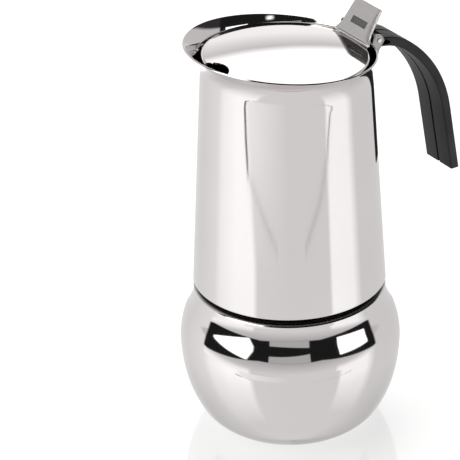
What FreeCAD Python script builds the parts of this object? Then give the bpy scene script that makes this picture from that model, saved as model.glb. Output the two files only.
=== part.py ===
import FreeCAD, Part
import math
import os

import Sketcher
from FreeCAD import Placement, Rotation, Vector

# Stainless moka pot in millimetres: the axis is Z, the base stands on Z = 0,
# the handle points along +X and the pouring lip along -X.

doc = FreeCAD.newDocument("moka_pot")
sheet = doc.addObject("Spreadsheet::Sheet", "Sizes")

# How far cutting tools run past the metal.
past = 20.0
# How quickly the mouth flares, and where its sections lie in parts of the flared depth.
flare_power = 2.2
flare_shares = (1.3, 1.0, 0.72, 0.45, 0.2, 0.0)
# Rings of holes round the middle one in a perforated plate.
hole_rings = 4

driving_sizes = [
    ("wall", 0.9, "steel sheet of jug and lid"),
    ("slack", 0.04, "gap between fixed round pieces"),
    ("base_radius", 38.5, "where the belly meets the table"),
    ("base_lift", 0.3, "belly edge above the table"),
    ("disc_radius", 37.0, "heat-spreading disc"),
    ("disc_thickness", 2.4, "heat-spreading disc"),
    ("disc_edge", 0.5, "chamfer of the disc"),
    ("floor_thickness", 0.9, "boiler floor"),
    ("floor_flare", 2.5, "inner floor edge beyond the base"),
    ("heel_radius", 49.35, "belly at the heel"),
    ("heel_height", 10.0, "belly at the heel"),
    ("heel_arc", 22.6, "curve of the heel"),
    ("belly_radius", 58.64, "widest place"),
    ("belly_height", 45.85, "widest place"),
    ("belly_low_arc", 76.0, "curve below the widest place"),
    ("belly_high_arc", 47.0, "curve above the widest place"),
    ("waist_radius", 53.94, "where the curve turns hollow"),
    ("waist_height", 66.7, "where the curve turns hollow"),
    ("waist_arc", 38.0, "hollow curve under the shoulder"),
    ("shoulder_radius", 50.4, "boiler shoulder"),
    ("shoulder_height", 78.6, "boiler shoulder"),
    ("boiler_wall", 1.2, "boiler wall, measured level"),
    ("shoulder_arc", 5.0, "curve from the shoulder to the neck"),
    ("shoulder_rise", 1.6, "height of that curve"),
    ("neck_radius", 46.0, "threaded neck"),
    ("neck_top", 95.0, "boiler mouth"),
    ("funnel_radius", 43.8, "coffee basket outside"),
    ("funnel_sheet", 0.8, "basket and stem sheet"),
    ("basket_floor", 73.0, "basket wall foot"),
    ("basket_throat", 66.0, "top of the stem"),
    ("stem_radius", 5.5, "stem outside"),
    ("stem_foot", 7.0, "open end above the boiler floor"),
    ("sieve_thickness", 0.6, "perforated plates"),
    ("hole_radius", 1.0, "perforation"),
    ("ring_step", 7.0, "distance between rings of holes"),
    ("sieve_lift", 0.05, "sieve above the basket wall's foot"),
    ("sieve_play", 0.1, "gap round the sieve"),
    ("gasket_inner", 37.2, "seal ring"),
    ("gasket_outer", 46.1, "seal ring"),
    ("gasket_thickness", 3.0, "seal ring"),
    ("plate_radius", 42.0, "filter plate flange"),
    ("dish_play", 0.2, "gap between plate and seal ring"),
    ("dish_lift", 0.3, "plate above the basket flange"),
    ("foot_radius", 50.0, "lower edge of the jug"),
    ("foot_height", 83.4, "lower edge of the jug"),
    ("taper", 0.06, "radius lost per millimetre of height"),
    ("collar_inner", 46.35, "threaded ring in the jug foot"),
    ("collar_lift", 0.8, "collar above the jug's lower edge"),
    ("rim_radius", 48.06, "mouth, seen from above"),
    ("rim_offset", 3.57, "mouth centre towards the lip"),
    ("rim_height", 212.1, "mouth centre"),
    ("rim_tilt", 6.12, "degrees that the mouth rises to the lip"),
    ("flare_depth", 14.5, "depth of the flared mouth"),
    ("flare_start", 180.0, "top of the plain cone"),
    ("floor_rise", 111.5, "top of the jug's conical floor"),
    ("floor_foot", 40.0, "radius where the conical floor starts"),
    ("landing_radius", 12.0, "flat round the riser"),
    ("column_radius", 8.1, "riser at its foot"),
    ("column_tip", 6.4, "riser at its top"),
    ("column_top", 184.0, "riser height"),
    ("column_plug", 1.5, "riser below the jug floor"),
    ("column_flare", 3.0, "height of the riser's flared foot"),
    ("column_flange", 11.0, "flared foot of the riser"),
    ("column_cap_lip", 0.6, "cap beyond the riser"),
    ("column_cap_edge", 1.2, "straight edge of the cap"),
    ("column_cap_dome", 2.4, "crown of the cap"),
    ("window_width", 5.0, "outlet windows of the riser"),
    ("window_height", 8.0, "outlet windows of the riser"),
    ("window_drop", 2.5, "metal above the outlet windows"),
    ("lid_radius", 42.2, "lid"),
    ("lid_offset", 0.3, "lid centre towards the lip"),
    ("lid_sink", 4.0, "lid edge below the mouth"),
    ("lid_tilt", 3.0, "degrees that the lid rises to the lip"),
    ("lid_dome", 3.0, "crown of the lid"),
    ("lid_skirt", 1.5, "turned-down edge"),
    ("lid_brow", 1.0, "rounding of the lid's edge"),
    ("lid_brow_height", 0.3, "top of that rounding"),
    ("lid_lip", 1.0, "inside corner of the turned-down edge"),
    ("notch_radius", 10.8, "half-moon notch"),
    ("notch_reach", 45.9, "notch centre from the lid centre"),
    ("pin_x", 48.2, "hinge axis"),
    ("pin_z", 207.0, "hinge axis"),
    ("pin_radius", 1.2, "hinge pin"),
    ("eye_radius", 2.3, "lever eye"),
    ("ear_inner", 5.0, "lever ear, inner face"),
    ("ear_outer", 6.0, "lever ear, outer face"),
    ("ear_front", 5.4, "ear in front of the hinge axis"),
    ("ear_back", 3.6, "ear top in front of the hinge axis"),
    ("ear_bite", 0.4, "ear sunk into the lever sheet"),
    ("ear_play", 0.05, "gap round the pin"),
    ("lever_sheet", 1.0, "lever sheet"),
    ("lever_root_x", 40.2, "where the lever leaves the lid"),
    ("lever_root_z", 206.03, "where the lever leaves the lid"),
    ("lever_tip_x", 51.2, "top edge of the lever"),
    ("lever_tip_z", 221.95, "top edge of the lever"),
    ("lever_root_half", 13.6, "half width at the lid"),
    ("lever_waist_half", 12.0, "half width above the flare"),
    ("lever_tip_half", 10.9, "half width at the top"),
    ("lever_flange", 1.4, "foot of the lever on the lid"),
    ("lever_flange_rise", 0.25, "rise of that foot towards the lid's crown"),
    ("lever_waist", 4.1, "from the lid to the end of the flare"),
    ("lever_flare_arc", 6.0, "hollow curve of the flare"),
    ("recess_start", 3.4, "plain recess, from the lid"),
    ("recess_half", 6.3, "half width of the recess"),
    ("recess_height", 3.7, "recess along the slope"),
    ("recess_depth", 0.4, "recess"),
    ("handle_half", 11.2, "half width of the handle strap"),
    ("handle_thickness", 5.0, "handle strap"),
    ("handle_tip_x", 101.4, "outer corner of the open end"),
    ("handle_tip_z", 119.8, "outer corner of the open end"),
    ("handle_straight", 37.9, "straight stretch above the open end"),
    ("handle_lean", 9.65, "degrees that the straight stretch leans"),
    ("handle_big_arc", 69.0, "outer curve of the arch"),
    ("handle_big_end", 53.6, "degrees where the two curves meet"),
    ("handle_small_arc", 32.6, "curve into the root"),
    ("handle_root_end", 90.0, "degrees where that curve ends"),
    ("groove_half", 0.6, "half width of the long groove"),
    ("groove_depth", 1.2, "depth of the long groove"),
    ("groove_root_end", 72.0, "degrees where the groove ends near the root"),
    ("root_x", 45.8, "inner end of the handle root"),
    ("lug_inner", 7.2, "handle lug beside the hinge"),
    ("lug_rise", 1.9, "lug above the hinge axis"),
    ("lug_reach", 8.0, "lug behind the hinge axis"),
    ("lug_drop", 2.4, "back corner of the lug below the hinge axis"),
    ("lug_flat", 1.0, "end of the lug's flat top behind the hinge axis"),
    ("lug_chamfer", 1.2, "front corner of the lug"),
    ("lug_lift", 0.5, "lug foot above the tongue"),
    ("slot_play", 0.6, "gap under the lever eye"),
    ("slot_reach", 4.0, "slot floor behind the hinge axis"),
    ("slot_flare", 9.0, "slot mouth behind the hinge axis"),
    ("slot_rise", 6.0, "slot mouth above the hinge axis"),
    ("rebate_play", 0.1, "gap round the tongue"),
    ("arm_inner", 11.25, "bracket arm, inner face"),
    ("arm_sheet", 1.0, "bracket sheet"),
    ("saddle_bed", 0.08, "how far the bracket beds into the cone's hollow start of flare"),
    ("saddle_low", 187.5, "lower edge of the saddle"),
    ("saddle_high", 193.9, "upper edge of the saddle"),
    ("arm_left", 42.6, "inner end of the arm"),
    ("arm_foot", 2.2, "width of the arm's foot"),
    ("arm_throat", 5.6, "underside of the arm below the hinge axis"),
    ("tail_reach", 3.4, "pointed tail behind the hinge axis"),
    ("tail_drop", 0.6, "pointed tail below the hinge axis"),
    ("arm_rise", 2.6, "top of the arm above the hinge axis"),
    ("arm_crown", 1.6, "flat top behind the hinge axis"),
    ("arm_brow", 3.2, "rounded top in front of the hinge axis"),
    ("arm_brow_arc", 4.6, "curve of the rounded top"),
    ("arm_neck", 5.0, "front of the arm from the hinge axis"),
    ("arm_neck_drop", 3.5, "front corner below the hinge axis"),
    ("web_x", 44.0, "upright web that carries the tongue"),
    ("web_bite", 2.0, "web sunk behind the saddle's upper edge"),
    ("tongue_top", 202.4, "bracket tongue under the handle root"),
    ("tongue_half", 7.0, "half width of the tongue"),
    ("tongue_sheet", 1.1, "tongue"),
    ("tongue_reach", 3.0, "tongue beyond the screw"),
    ("pin_proud", 0.6, "pin beyond the arms"),
    ("screw_x", 55.5, "handle screw"),
    ("screw_radius", 1.5, "handle screw"),
    ("screw_length", 2.8, "thread above the tongue"),
    ("head_radius", 2.8, "screw head"),
    ("head_height", 1.8, "screw head"),
    ("head_flat", 1.6, "flat of the screw head"),
    ("head_arc", 3.0, "rounded side of the screw head"),
    ("valve_height", 52.0, "safety valve axis"),
    ("boss_radius", 7.4, "welded bush"),
    ("boss_inner_end", 54.5, "welded bush"),
    ("boss_outer_end", 60.2, "welded bush"),
    ("spigot_radius", 4.5, "valve thread"),
    ("chamber_radius", 3.2, "spring chamber"),
    ("seat_end", 54.5, "valve seat"),
    ("body_inner_end", 52.8, "inner end of the valve"),
    ("hex_start", 61.2, "hexagon"),
    ("hex_end", 66.2, "hexagon"),
    ("hex_radius", 7.5, "hexagon over corners, half"),
    ("spigot_bite", 1.0, "spigot inside the hexagon"),
    ("cap_height", 1.4, "valve cap"),
    ("cap_edge", 1.6, "valve cap beyond the spring chamber"),
    ("cap_chamfer", 0.5, "valve cap"),
    ("plunger_radius", 2.7, "plunger head"),
    ("plunger_stem", 1.3, "plunger stem"),
    ("plunger_head", 1.7, "height of the plunger head"),
    ("plunger_reach", 4.0, "stem beyond the hexagon"),
    ("plunger_chamfer", 0.6, "stem end"),
    ("valve_hole", 1.6, "valve seat and outlet"),
    ("spring_radius", 2.25, "middle of the spring wire"),
    ("spring_wire", 0.35, "half the wire thickness"),
    ("spring_pitch", 1.9, "one turn of the spring"),
    ("spring_play", 0.1, "gap at each end of the spring"),
]


class Size:
    # A value together with the spreadsheet expression that gives it.

    def __init__(self, value, text):
        self.value = float(value)
        self.text = text

    def __add__(self, other):
        other = as_size(other)
        return Size(self.value + other.value, "(%s + %s)" % (self.text, other.text))

    def __radd__(self, other):
        return as_size(other) + self

    def __sub__(self, other):
        other = as_size(other)
        return Size(self.value - other.value, "(%s - %s)" % (self.text, other.text))

    def __rsub__(self, other):
        return as_size(other) - self

    def __mul__(self, other):
        other = as_size(other)
        return Size(self.value * other.value, "(%s * %s)" % (self.text, other.text))

    def __rmul__(self, other):
        return as_size(other) * self

    def __truediv__(self, other):
        other = as_size(other)
        return Size(self.value / other.value, "(%s / %s)" % (self.text, other.text))

    def __rtruediv__(self, other):
        return as_size(other) / self

    def __neg__(self):
        return 0 - self


def as_size(number):
    if isinstance(number, Size):
        return number
    return Size(number, "(%r)" % number)


def cosine(angle):
    return Size(math.cos(math.radians(angle.value)), "cos(%s * 1 deg)" % angle.text)


def sine(angle):
    return Size(math.sin(math.radians(angle.value)), "sin(%s * 1 deg)" % angle.text)


size = {}
for row, (name, number, note) in enumerate(driving_sizes, start=1):
    sheet.set("A%d" % row, name)
    sheet.set("B%d" % row, str(number))
    sheet.set("C%d" % row, note)
    sheet.setAlias("B%d" % row, name)
    size[name] = Size(number, "Sizes." + name)
doc.recompute()

nodes = {}


def keep(node, item):
    item.Label = node
    nodes[node] = item
    return item


def bind(item, prop, amount):
    item.setExpression(prop, as_size(amount).text)


def place(item, x=0, y=0, z=0, turn=None, tilt=None):
    # A tilt, in degrees about Y, is bound to the sheet as well.
    if tilt is not None:
        turn = Rotation(Vector(0, 1, 0), tilt.value)
    item.Placement = Placement(Vector(0, 0, 0), turn or Rotation())
    bind(item, "Placement.Base.x", x)
    bind(item, "Placement.Base.y", y)
    bind(item, "Placement.Base.z", z)
    if tilt is not None:
        item.setExpression("Placement.Rotation.Angle", "%s * 1 deg" % tilt.text)
    return item


def arc_between(start, end, radius):
    # A positive radius turns left on the way from start to end.
    chord = end - start
    half = chord.Length / 2
    left = Vector(-chord.y, chord.x, 0).normalize()
    reach = math.sqrt(max(radius * radius - half * half, 0))
    centre = (start + end) * 0.5 + left * math.copysign(reach, radius)
    first, last = (start, end) if radius > 0 else (end, start)
    circle = Part.Circle(centre, Vector(0, 0, 1), abs(radius))
    return Part.ArcOfCircle(circle, circle.parameter(first), circle.parameter(last))


def draw(sketch, corners):
    # Closed outline. A third entry makes the stretch up to that corner an arc.
    spots = [Vector(as_size(c[0]).value, as_size(c[1]).value, 0) for c in corners]
    count = len(corners)
    for index, corner in enumerate(corners):
        start, end = spots[index - 1], spots[index]
        if len(corner) == 3:
            sketch.addGeometry(arc_between(start, end, as_size(corner[2]).value))
        else:
            sketch.addGeometry(Part.LineSegment(start, end))
    for index, corner in enumerate(corners):
        backward = len(corner) == 3 and as_size(corner[2]).value < 0
        end_point = 1 if backward else 2
        following = corners[(index + 1) % count]
        next_backward = len(following) == 3 and as_size(following[2]).value < 0
        next_start = 2 if next_backward else 1
        join = Sketcher.Constraint("Coincident", index, end_point, (index + 1) % count, next_start)
        sketch.addConstraint(join)
        for kind, axis, amount in (("DistanceX", "x", corner[0]), ("DistanceY", "y", corner[1])):
            amount = as_size(amount)
            rule = Sketcher.Constraint(kind, -1, 1, index, end_point, amount.value)
            number = sketch.addConstraint(rule)
            sketch.renameConstraint(number, "%s%d" % (axis, index))
            bind(sketch, "Constraints.%s%d" % (axis, index), amount)
        if len(corner) == 3:
            radius = as_size(corner[2])
            magnitude = radius if radius.value > 0 else -radius
            number = sketch.addConstraint(Sketcher.Constraint("Radius", index, magnitude.value))
            sketch.renameConstraint(number, "arc%d" % index)
            bind(sketch, "Constraints.arc%d" % index, magnitude)
    return sketch


def origin_part(body, role):
    return [part for part in body.Origin.OriginFeatures if part.Role == role][0]


def sketch_in(body, name, role):
    sketch = body.newObject("Sketcher::SketchObject", name)
    sketch.AttachmentSupport = [(origin_part(body, role), "")]
    sketch.MapMode = "FlatFace"
    return sketch


def revolved(name, corners):
    body = doc.addObject("PartDesign::Body", name)
    profile = draw(sketch_in(body, name + "_profile", "XZ_Plane"), corners)
    turn = body.newObject("PartDesign::Revolution", name + "_turn")
    turn.Profile = profile
    turn.ReferenceAxis = (profile, ["V_Axis"])
    turn.Angle = 360
    body.Tip = turn
    return body


def ring_of_holes(body, name, distance, count, radius):
    sketch = sketch_in(body, name + "_spot", "XY_Plane")
    sketch.addGeometry(Part.Circle(Vector(distance.value, 0, 0), Vector(0, 0, 1), radius.value))
    rules = (
        ("across", Sketcher.Constraint("DistanceX", -1, 1, 0, 3, distance.value), distance),
        ("up", Sketcher.Constraint("DistanceY", -1, 1, 0, 3, 0.0), as_size(0)),
        ("radius", Sketcher.Constraint("Radius", 0, radius.value), radius),
    )
    for label, rule, amount in rules:
        sketch.renameConstraint(sketch.addConstraint(rule), label)
        bind(sketch, "Constraints." + label, amount)
    hole = body.newObject("PartDesign::Pocket", name)
    hole.Profile = sketch
    hole.Type = "ThroughAll"
    hole.Midplane = True
    body.Tip = hole
    if count == 1:
        return
    doc.recompute()
    ring = body.newObject("PartDesign::PolarPattern", name + "_ring")
    ring.Originals = [hole]
    ring.Axis = (origin_part(body, "Z_Axis"), [""])
    ring.Angle = 360
    ring.Occurrences = count
    body.Tip = ring


def extruded(name, corners, half_width, upright=True):
    # Outline in the XZ plane (or seen from above) drawn out equally to both sides.
    sketch = draw(doc.addObject("Sketcher::SketchObject", name + "_outline"), corners)
    if upright:
        sketch.Placement = Placement(Vector(0, 0, 0), Rotation(Vector(1, 0, 0), 90))
    solid = doc.addObject("Part::Extrusion", name)
    solid.Base = sketch
    solid.DirMode = "Normal"
    solid.Solid = True
    bind(solid, "LengthFwd", half_width)
    bind(solid, "LengthRev", half_width)
    return solid


def cylinder(name, radius, height):
    item = doc.addObject("Part::Cylinder", name)
    bind(item, "Radius", radius)
    bind(item, "Height", height)
    return item


def cone(name, low_radius, high_radius, height):
    item = doc.addObject("Part::Cone", name)
    bind(item, "Radius1", low_radius)
    bind(item, "Radius2", high_radius)
    bind(item, "Height", height)
    return item


def box(name, x_span, y_half, z_span):
    item = doc.addObject("Part::Box", name)
    bind(item, "Length", as_size(x_span[1]) - x_span[0])
    bind(item, "Width", 2 * as_size(y_half))
    bind(item, "Height", as_size(z_span[1]) - z_span[0])
    return place(item, x_span[0], -as_size(y_half), z_span[0])


def crosswise(name, radius, x, z, half_length):
    # Round bar or hole along Y.
    item = cylinder(name, radius, 2 * as_size(half_length))
    return place(item, x, -as_size(half_length), z, Rotation(Vector(1, 0, 0), -90))


def cut(name, base, tool):
    item = doc.addObject("Part::Cut", name)
    item.Base = base
    item.Tool = tool
    return item


def fused(name, pieces):
    item = doc.addObject("Part::MultiFuse", name)
    item.Shapes = pieces
    return item


def common(name, pieces):
    item = doc.addObject("Part::MultiCommon", name)
    item.Shapes = pieces
    return item


along_y = Rotation(Vector(1, 0, 0), -90)


def make_boiler():
    shift = size["boiler_wall"]
    floor = size["disc_thickness"]
    inside_floor = floor + size["floor_thickness"]
    seat = size["disc_radius"] + size["slack"]
    neck_inner = size["neck_radius"] - shift
    neck_foot = size["shoulder_height"] + size["shoulder_rise"]
    shell = revolved("boiler_shell", [
        (0, floor),
        (seat, floor),
        (seat, size["base_lift"]),
        (size["base_radius"], size["base_lift"]),
        (size["heel_radius"], size["heel_height"], size["heel_arc"]),
        (size["belly_radius"], size["belly_height"], size["belly_low_arc"]),
        (size["waist_radius"], size["waist_height"], size["belly_high_arc"]),
        (size["shoulder_radius"], size["shoulder_height"], -size["waist_arc"]),
        (size["neck_radius"], neck_foot, size["shoulder_arc"]),
        (size["neck_radius"], size["neck_top"]),
        (neck_inner, size["neck_top"]),
        (neck_inner, neck_foot - shift),
        (size["shoulder_radius"] - shift, size["shoulder_height"] - shift),
        (size["waist_radius"] - shift, size["waist_height"], size["waist_arc"]),
        (size["belly_radius"] - shift, size["belly_height"], -size["belly_high_arc"]),
        (size["heel_radius"] - shift, size["heel_height"], -size["belly_low_arc"]),
        (size["base_radius"] + size["floor_flare"], inside_floor),
        (0, inside_floor),
    ])
    opening = cylinder("boss_opening", size["boss_radius"] + size["slack"], 2 * past)
    place(opening, 0, size["belly_radius"] - past, size["valve_height"], along_y)
    keep("boiler", cut("boiler", shell, opening))
    edge = size["disc_edge"]
    keep("base_disc", revolved("base_disc", [
        (0, 0),
        (size["disc_radius"] - edge, 0),
        (size["disc_radius"], edge),
        (size["disc_radius"], floor),
        (0, floor),
    ]))


def on_valve_axis(item):
    return place(item, 0, 0, size["valve_height"], along_y)


def make_valve():
    bore = size["spigot_radius"] + size["slack"]
    boss = revolved("valve_boss", [
        (bore, size["boss_inner_end"]),
        (size["boss_radius"], size["boss_inner_end"]),
        (size["boss_radius"], size["boss_outer_end"]),
        (bore, size["boss_outer_end"]),
    ])
    keep("valve_boss", on_valve_axis(boss))
    washer = revolved("valve_washer", [
        (bore, size["boss_outer_end"]),
        (size["boss_radius"], size["boss_outer_end"]),
        (size["boss_radius"], size["hex_start"]),
        (bore, size["hex_start"]),
    ])
    keep("valve_washer", on_valve_axis(washer))

    spigot = revolved("valve_spigot", [
        (size["valve_hole"], size["body_inner_end"]),
        (size["spigot_radius"], size["body_inner_end"]),
        (size["spigot_radius"], size["hex_start"] + size["spigot_bite"]),
        (size["chamber_radius"], size["hex_start"] + size["spigot_bite"]),
        (size["chamber_radius"], size["seat_end"]),
        (size["valve_hole"], size["seat_end"]),
    ])
    hexagon = doc.addObject("Part::Prism", "valve_hexagon")
    hexagon.Polygon = 6
    bind(hexagon, "Circumradius", size["hex_radius"])
    bind(hexagon, "Height", size["hex_end"] - size["hex_start"])
    place(hexagon, 0, 0, size["hex_start"])
    chamber = cylinder("valve_chamber", size["chamber_radius"], past)
    place(chamber, 0, 0, size["seat_end"])
    head = cut("valve_head", hexagon, chamber)
    keep("valve_body", on_valve_axis(fused("valve_body", [spigot, head])))

    cap_end = size["hex_end"] + size["cap_height"]
    cap_radius = size["chamber_radius"] + size["cap_edge"]
    cap = revolved("valve_cap", [
        (size["valve_hole"], size["hex_end"]),
        (cap_radius, size["hex_end"]),
        (cap_radius, cap_end - size["cap_chamfer"]),
        (cap_radius - size["cap_chamfer"], cap_end),
        (size["valve_hole"], cap_end),
    ])
    keep("valve_cap", on_valve_axis(cap))

    head_end = size["seat_end"] + size["plunger_head"]
    stem_end = size["hex_end"] + size["plunger_reach"]
    plunger = revolved("valve_plunger", [
        (0, size["seat_end"]),
        (size["plunger_radius"], size["seat_end"]),
        (size["plunger_radius"], head_end),
        (size["plunger_stem"], head_end),
        (size["plunger_stem"], stem_end - size["plunger_chamfer"]),
        (size["plunger_stem"] - size["plunger_chamfer"], stem_end),
        (0, stem_end),
    ])
    keep("valve_plunger", on_valve_axis(plunger))

    spring_start = head_end + size["spring_wire"] + size["spring_play"]
    spring_length = size["hex_end"] - size["spring_wire"] - size["spring_play"] - spring_start
    coil = doc.addObject("Part::Helix", "spring_line")
    bind(coil, "Pitch", size["spring_pitch"])
    bind(coil, "Height", spring_length)
    bind(coil, "Radius", size["spring_radius"])
    coil.LocalCoord = 0
    place(coil, 0, 0, spring_start)
    wire = doc.addObject("Part::Circle", "spring_section")
    bind(wire, "Radius", size["spring_wire"])
    place(wire, size["spring_radius"], 0, spring_start, Rotation(Vector(1, 0, 0), 90))
    spring = doc.addObject("Part::Sweep", "valve_spring")
    spring.Sections = [wire]
    spring.Spine = (coil, ["Edge1"])
    spring.Solid = True
    spring.Frenet = True
    keep("valve_spring", on_valve_axis(spring))
    print("valve_spring least gap to itself %.2f" % least_gap(spring_length.value))


def least_gap(length):
    # Measured on points along the spring, between points over half a turn apart.
    steps = 36
    pitch, radius = size["spring_pitch"].value, size["spring_radius"].value
    points = []
    for step in range(int(steps * length / pitch)):
        angle = 2 * math.pi * step / steps
        points.append(Vector(radius * math.cos(angle), radius * math.sin(angle), pitch * step / steps))
    gaps = []
    for first, point in enumerate(points):
        for other in points[first + steps // 2:]:
            gaps.append((other - point).Length)
    return min(gaps) - 2 * size["spring_wire"].value


def perforate(body, rings):
    ring_of_holes(body, body.Name + "_middle", as_size(0), 1, size["hole_radius"])
    for ring in range(1, rings + 1):
        name = "%s_holes_%d" % (body.Name, ring)
        ring_of_holes(body, name, ring * size["ring_step"], 6 * ring, size["hole_radius"])


def make_funnel():
    outer = size["funnel_radius"]
    sheet_gauge = size["funnel_sheet"]
    inner = outer - sheet_gauge
    top = size["neck_top"] + sheet_gauge
    throat = size["basket_throat"]
    stem_fit = size["stem_radius"] + size["slack"]
    keep("funnel_basket", revolved("funnel_basket", [
        (size["neck_radius"], size["neck_top"]),
        (size["neck_radius"], top),
        (inner, top),
        (inner, size["basket_floor"]),
        (stem_fit, throat + sheet_gauge),
        (stem_fit, throat),
        (outer, size["basket_floor"] - sheet_gauge),
        (outer, size["neck_top"]),
    ]))
    bore = size["stem_radius"] - sheet_gauge
    keep("funnel_stem", revolved("funnel_stem", [
        (bore, size["stem_foot"]),
        (size["stem_radius"], size["stem_foot"]),
        (size["stem_radius"], throat + sheet_gauge),
        (bore, throat + sheet_gauge),
    ]))
    sieve_low = size["basket_floor"] + size["sieve_lift"]
    sieve_top = sieve_low + size["sieve_thickness"]
    sieve_radius = inner - size["sieve_play"]
    sieve = revolved("funnel_sieve", [
        (0, sieve_low),
        (sieve_radius, sieve_low),
        (sieve_radius, sieve_top),
        (0, sieve_top),
    ])
    perforate(sieve, hole_rings)
    keep("funnel_sieve", sieve)


def make_seal():
    low = size["neck_top"] + size["funnel_sheet"]
    top = low + size["gasket_thickness"]
    keep("gasket", revolved("gasket", [
        (size["gasket_inner"], low),
        (size["gasket_outer"], low),
        (size["gasket_outer"], top),
        (size["gasket_inner"], top),
    ]))
    gauge = size["sieve_thickness"]
    dish = size["gasket_inner"] - size["dish_play"]
    bottom = low + size["dish_lift"]
    plate = revolved("filter_plate", [
        (0, bottom),
        (dish, bottom),
        (dish, top),
        (size["plate_radius"], top),
        (size["plate_radius"], top + gauge),
        (dish - gauge, top + gauge),
        (dish - gauge, bottom + gauge),
        (0, bottom + gauge),
    ])
    perforate(plate, hole_rings)
    keep("filter_plate", plate)


def dome_arc(radius, rise):
    # Curve of a shallow dome that rises this far above its edge.
    return (radius * radius + rise * rise) / (2 * rise)


def jug_radius(height):
    return size["foot_radius"] - size["taper"] * (height - size["foot_height"])


def mouth_slope():
    return sine(size["rim_tilt"]) / cosine(size["rim_tilt"])


def mouth_plane(depth):
    # Height on the pot's axis of a plane that lies this far below the mouth.
    return size["rim_height"] - mouth_slope() * size["rim_offset"] - depth


def ring(name, radius):
    # Circle drawn as four arcs, for lofts.
    spots = [(radius, 0), (0, radius), (-radius, 0), (0, -radius)]
    return draw(doc.addObject("Sketcher::SketchObject", name), [spot + (radius,) for spot in spots])


def mouth_section(name, share, inset):
    # Slanted section of the jug; share is its depth in parts of the flared depth.
    slope = mouth_slope()
    depth = share * size["flare_depth"]
    plain = jug_radius(mouth_plane(depth))
    lean = size["taper"] * slope
    flare = max(1 - share, 0) ** flare_power
    rim_plain = jug_radius(mouth_plane(as_size(0)))
    radius = plain + flare * (size["rim_radius"] - rim_plain) - inset
    offset = flare * (size["rim_offset"] + lean * rim_plain) - lean * plain
    section = ring(name, radius * (1 + 1 / cosine(size["rim_tilt"])) / 2)
    return place(section, -offset, 0, mouth_plane(depth) + slope * offset, tilt=size["rim_tilt"])


def jug_solid(name, inset):
    # Plain cone first, then a loft through ever more flared rings on the mouth's slant.
    height = size["flare_start"] - size["foot_height"]
    top_radius = jug_radius(size["flare_start"]) - inset
    tapered = cone(name + "_taper", size["foot_radius"] - inset, top_radius, height)
    place(tapered, 0, 0, size["foot_height"])
    start = place(ring(name + "_start", top_radius), 0, 0, size["flare_start"])
    sections = []
    for number, share in enumerate(flare_shares):
        sections.append(mouth_section("%s_%d" % (name, number), share, inset))
    flared = doc.addObject("Part::Loft", name + "_flare")
    flared.Sections = [start] + sections
    flared.Solid = True
    return fused(name, [tapered, flared])


def make_jug():
    wall = size["wall"]
    outside = jug_solid("jug_outside", as_size(0))
    keep("jug", cut("jug", outside, jug_solid("jug_inside", wall)))

    gasket_top = size["neck_top"] + size["funnel_sheet"] + size["gasket_thickness"]
    seat = gasket_top + size["sieve_thickness"]
    collar_foot = size["foot_height"] + size["collar_lift"]
    gap = wall + size["slack"]
    keep("jug_collar", revolved("jug_collar", [
        (size["collar_inner"], collar_foot),
        (jug_radius(collar_foot) - gap, collar_foot),
        (jug_radius(seat) - gap, seat),
        (size["collar_inner"], seat),
    ]))

    cone_foot = size["floor_foot"]
    landing = size["landing_radius"]
    hole = size["column_radius"] + size["slack"]
    keep("jug_floor", revolved("jug_floor", [
        (cone_foot, seat),
        (jug_radius(seat) - gap, seat),
        (jug_radius(seat + wall) - gap, seat + wall),
        (cone_foot, seat + wall),
        (landing, size["floor_rise"] + wall),
        (hole, size["floor_rise"] + wall),
        (hole, size["floor_rise"]),
        (landing, size["floor_rise"]),
    ]))

    foot = size["floor_rise"] - size["column_plug"]
    flare_top = size["floor_rise"] + wall + size["column_flare"]
    landing_top = size["floor_rise"] + wall
    bore_foot = size["column_radius"] - wall
    bore_tip = size["column_tip"] - wall
    tube = revolved("column_tube", [
        (bore_foot, foot),
        (size["column_radius"], foot),
        (size["column_radius"], landing_top),
        (size["column_flange"], landing_top),
        (size["column_flange"], landing_top + wall),
        (size["column_radius"], flare_top),
        (size["column_tip"], size["column_top"]),
        (bore_tip, size["column_top"]),
        (bore_foot, flare_top),
    ])
    window_top = size["column_top"] - size["window_drop"]
    window_span = (window_top - size["window_height"], window_top)
    windows = box("column_windows", (-past, past), size["window_width"] / 2, window_span)
    keep("column", cut("column", tube, windows))

    cap_radius = size["column_tip"] + size["column_cap_lip"]
    cap_edge = size["column_top"] + size["column_cap_edge"]
    dome = size["column_cap_dome"]
    keep("column_cap", revolved("column_cap", [
        (0, size["column_top"]),
        (cap_radius, size["column_top"]),
        (cap_radius, cap_edge),
        (0, cap_edge + dome, dome_arc(cap_radius, dome)),
    ]))


def make_lid():
    gauge = size["wall"]
    edge = size["lid_radius"]
    crown = size["lid_dome"]
    brow = edge - size["lid_brow"]
    brow_top = size["lid_brow_height"]
    rise = crown - brow_top
    under = brow - gauge
    disc = revolved("lid_disc", [
        (edge - gauge, -size["lid_skirt"]),
        (edge, -size["lid_skirt"]),
        (edge, brow_top - size["lid_brow"]),
        (brow, brow_top, size["lid_brow"]),
        (0, crown, dome_arc(brow, rise)),
        (0, crown - gauge),
        (under, brow_top - gauge, -dome_arc(under, rise)),
        (edge - gauge, -size["lid_lip"]),
    ])
    notch = cylinder("lid_notch", size["notch_radius"], past)
    place(notch, -size["notch_reach"], 0, -past / 2)
    lid = cut("lid", disc, notch)
    height = mouth_plane(size["lid_sink"]) + mouth_slope() * size["lid_offset"]
    keep("lid", place(lid, -size["lid_offset"], 0, height, tilt=size["lid_tilt"]))


def lever_rise():
    height = size["lever_tip_z"] - size["lever_root_z"]
    return height / (size["lever_tip_x"] - size["lever_root_x"])


def lever_angle():
    rise = lever_rise()
    return Size(math.degrees(math.atan(rise.value)), "(atan(%s) / 1 deg)" % rise.text)


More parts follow.
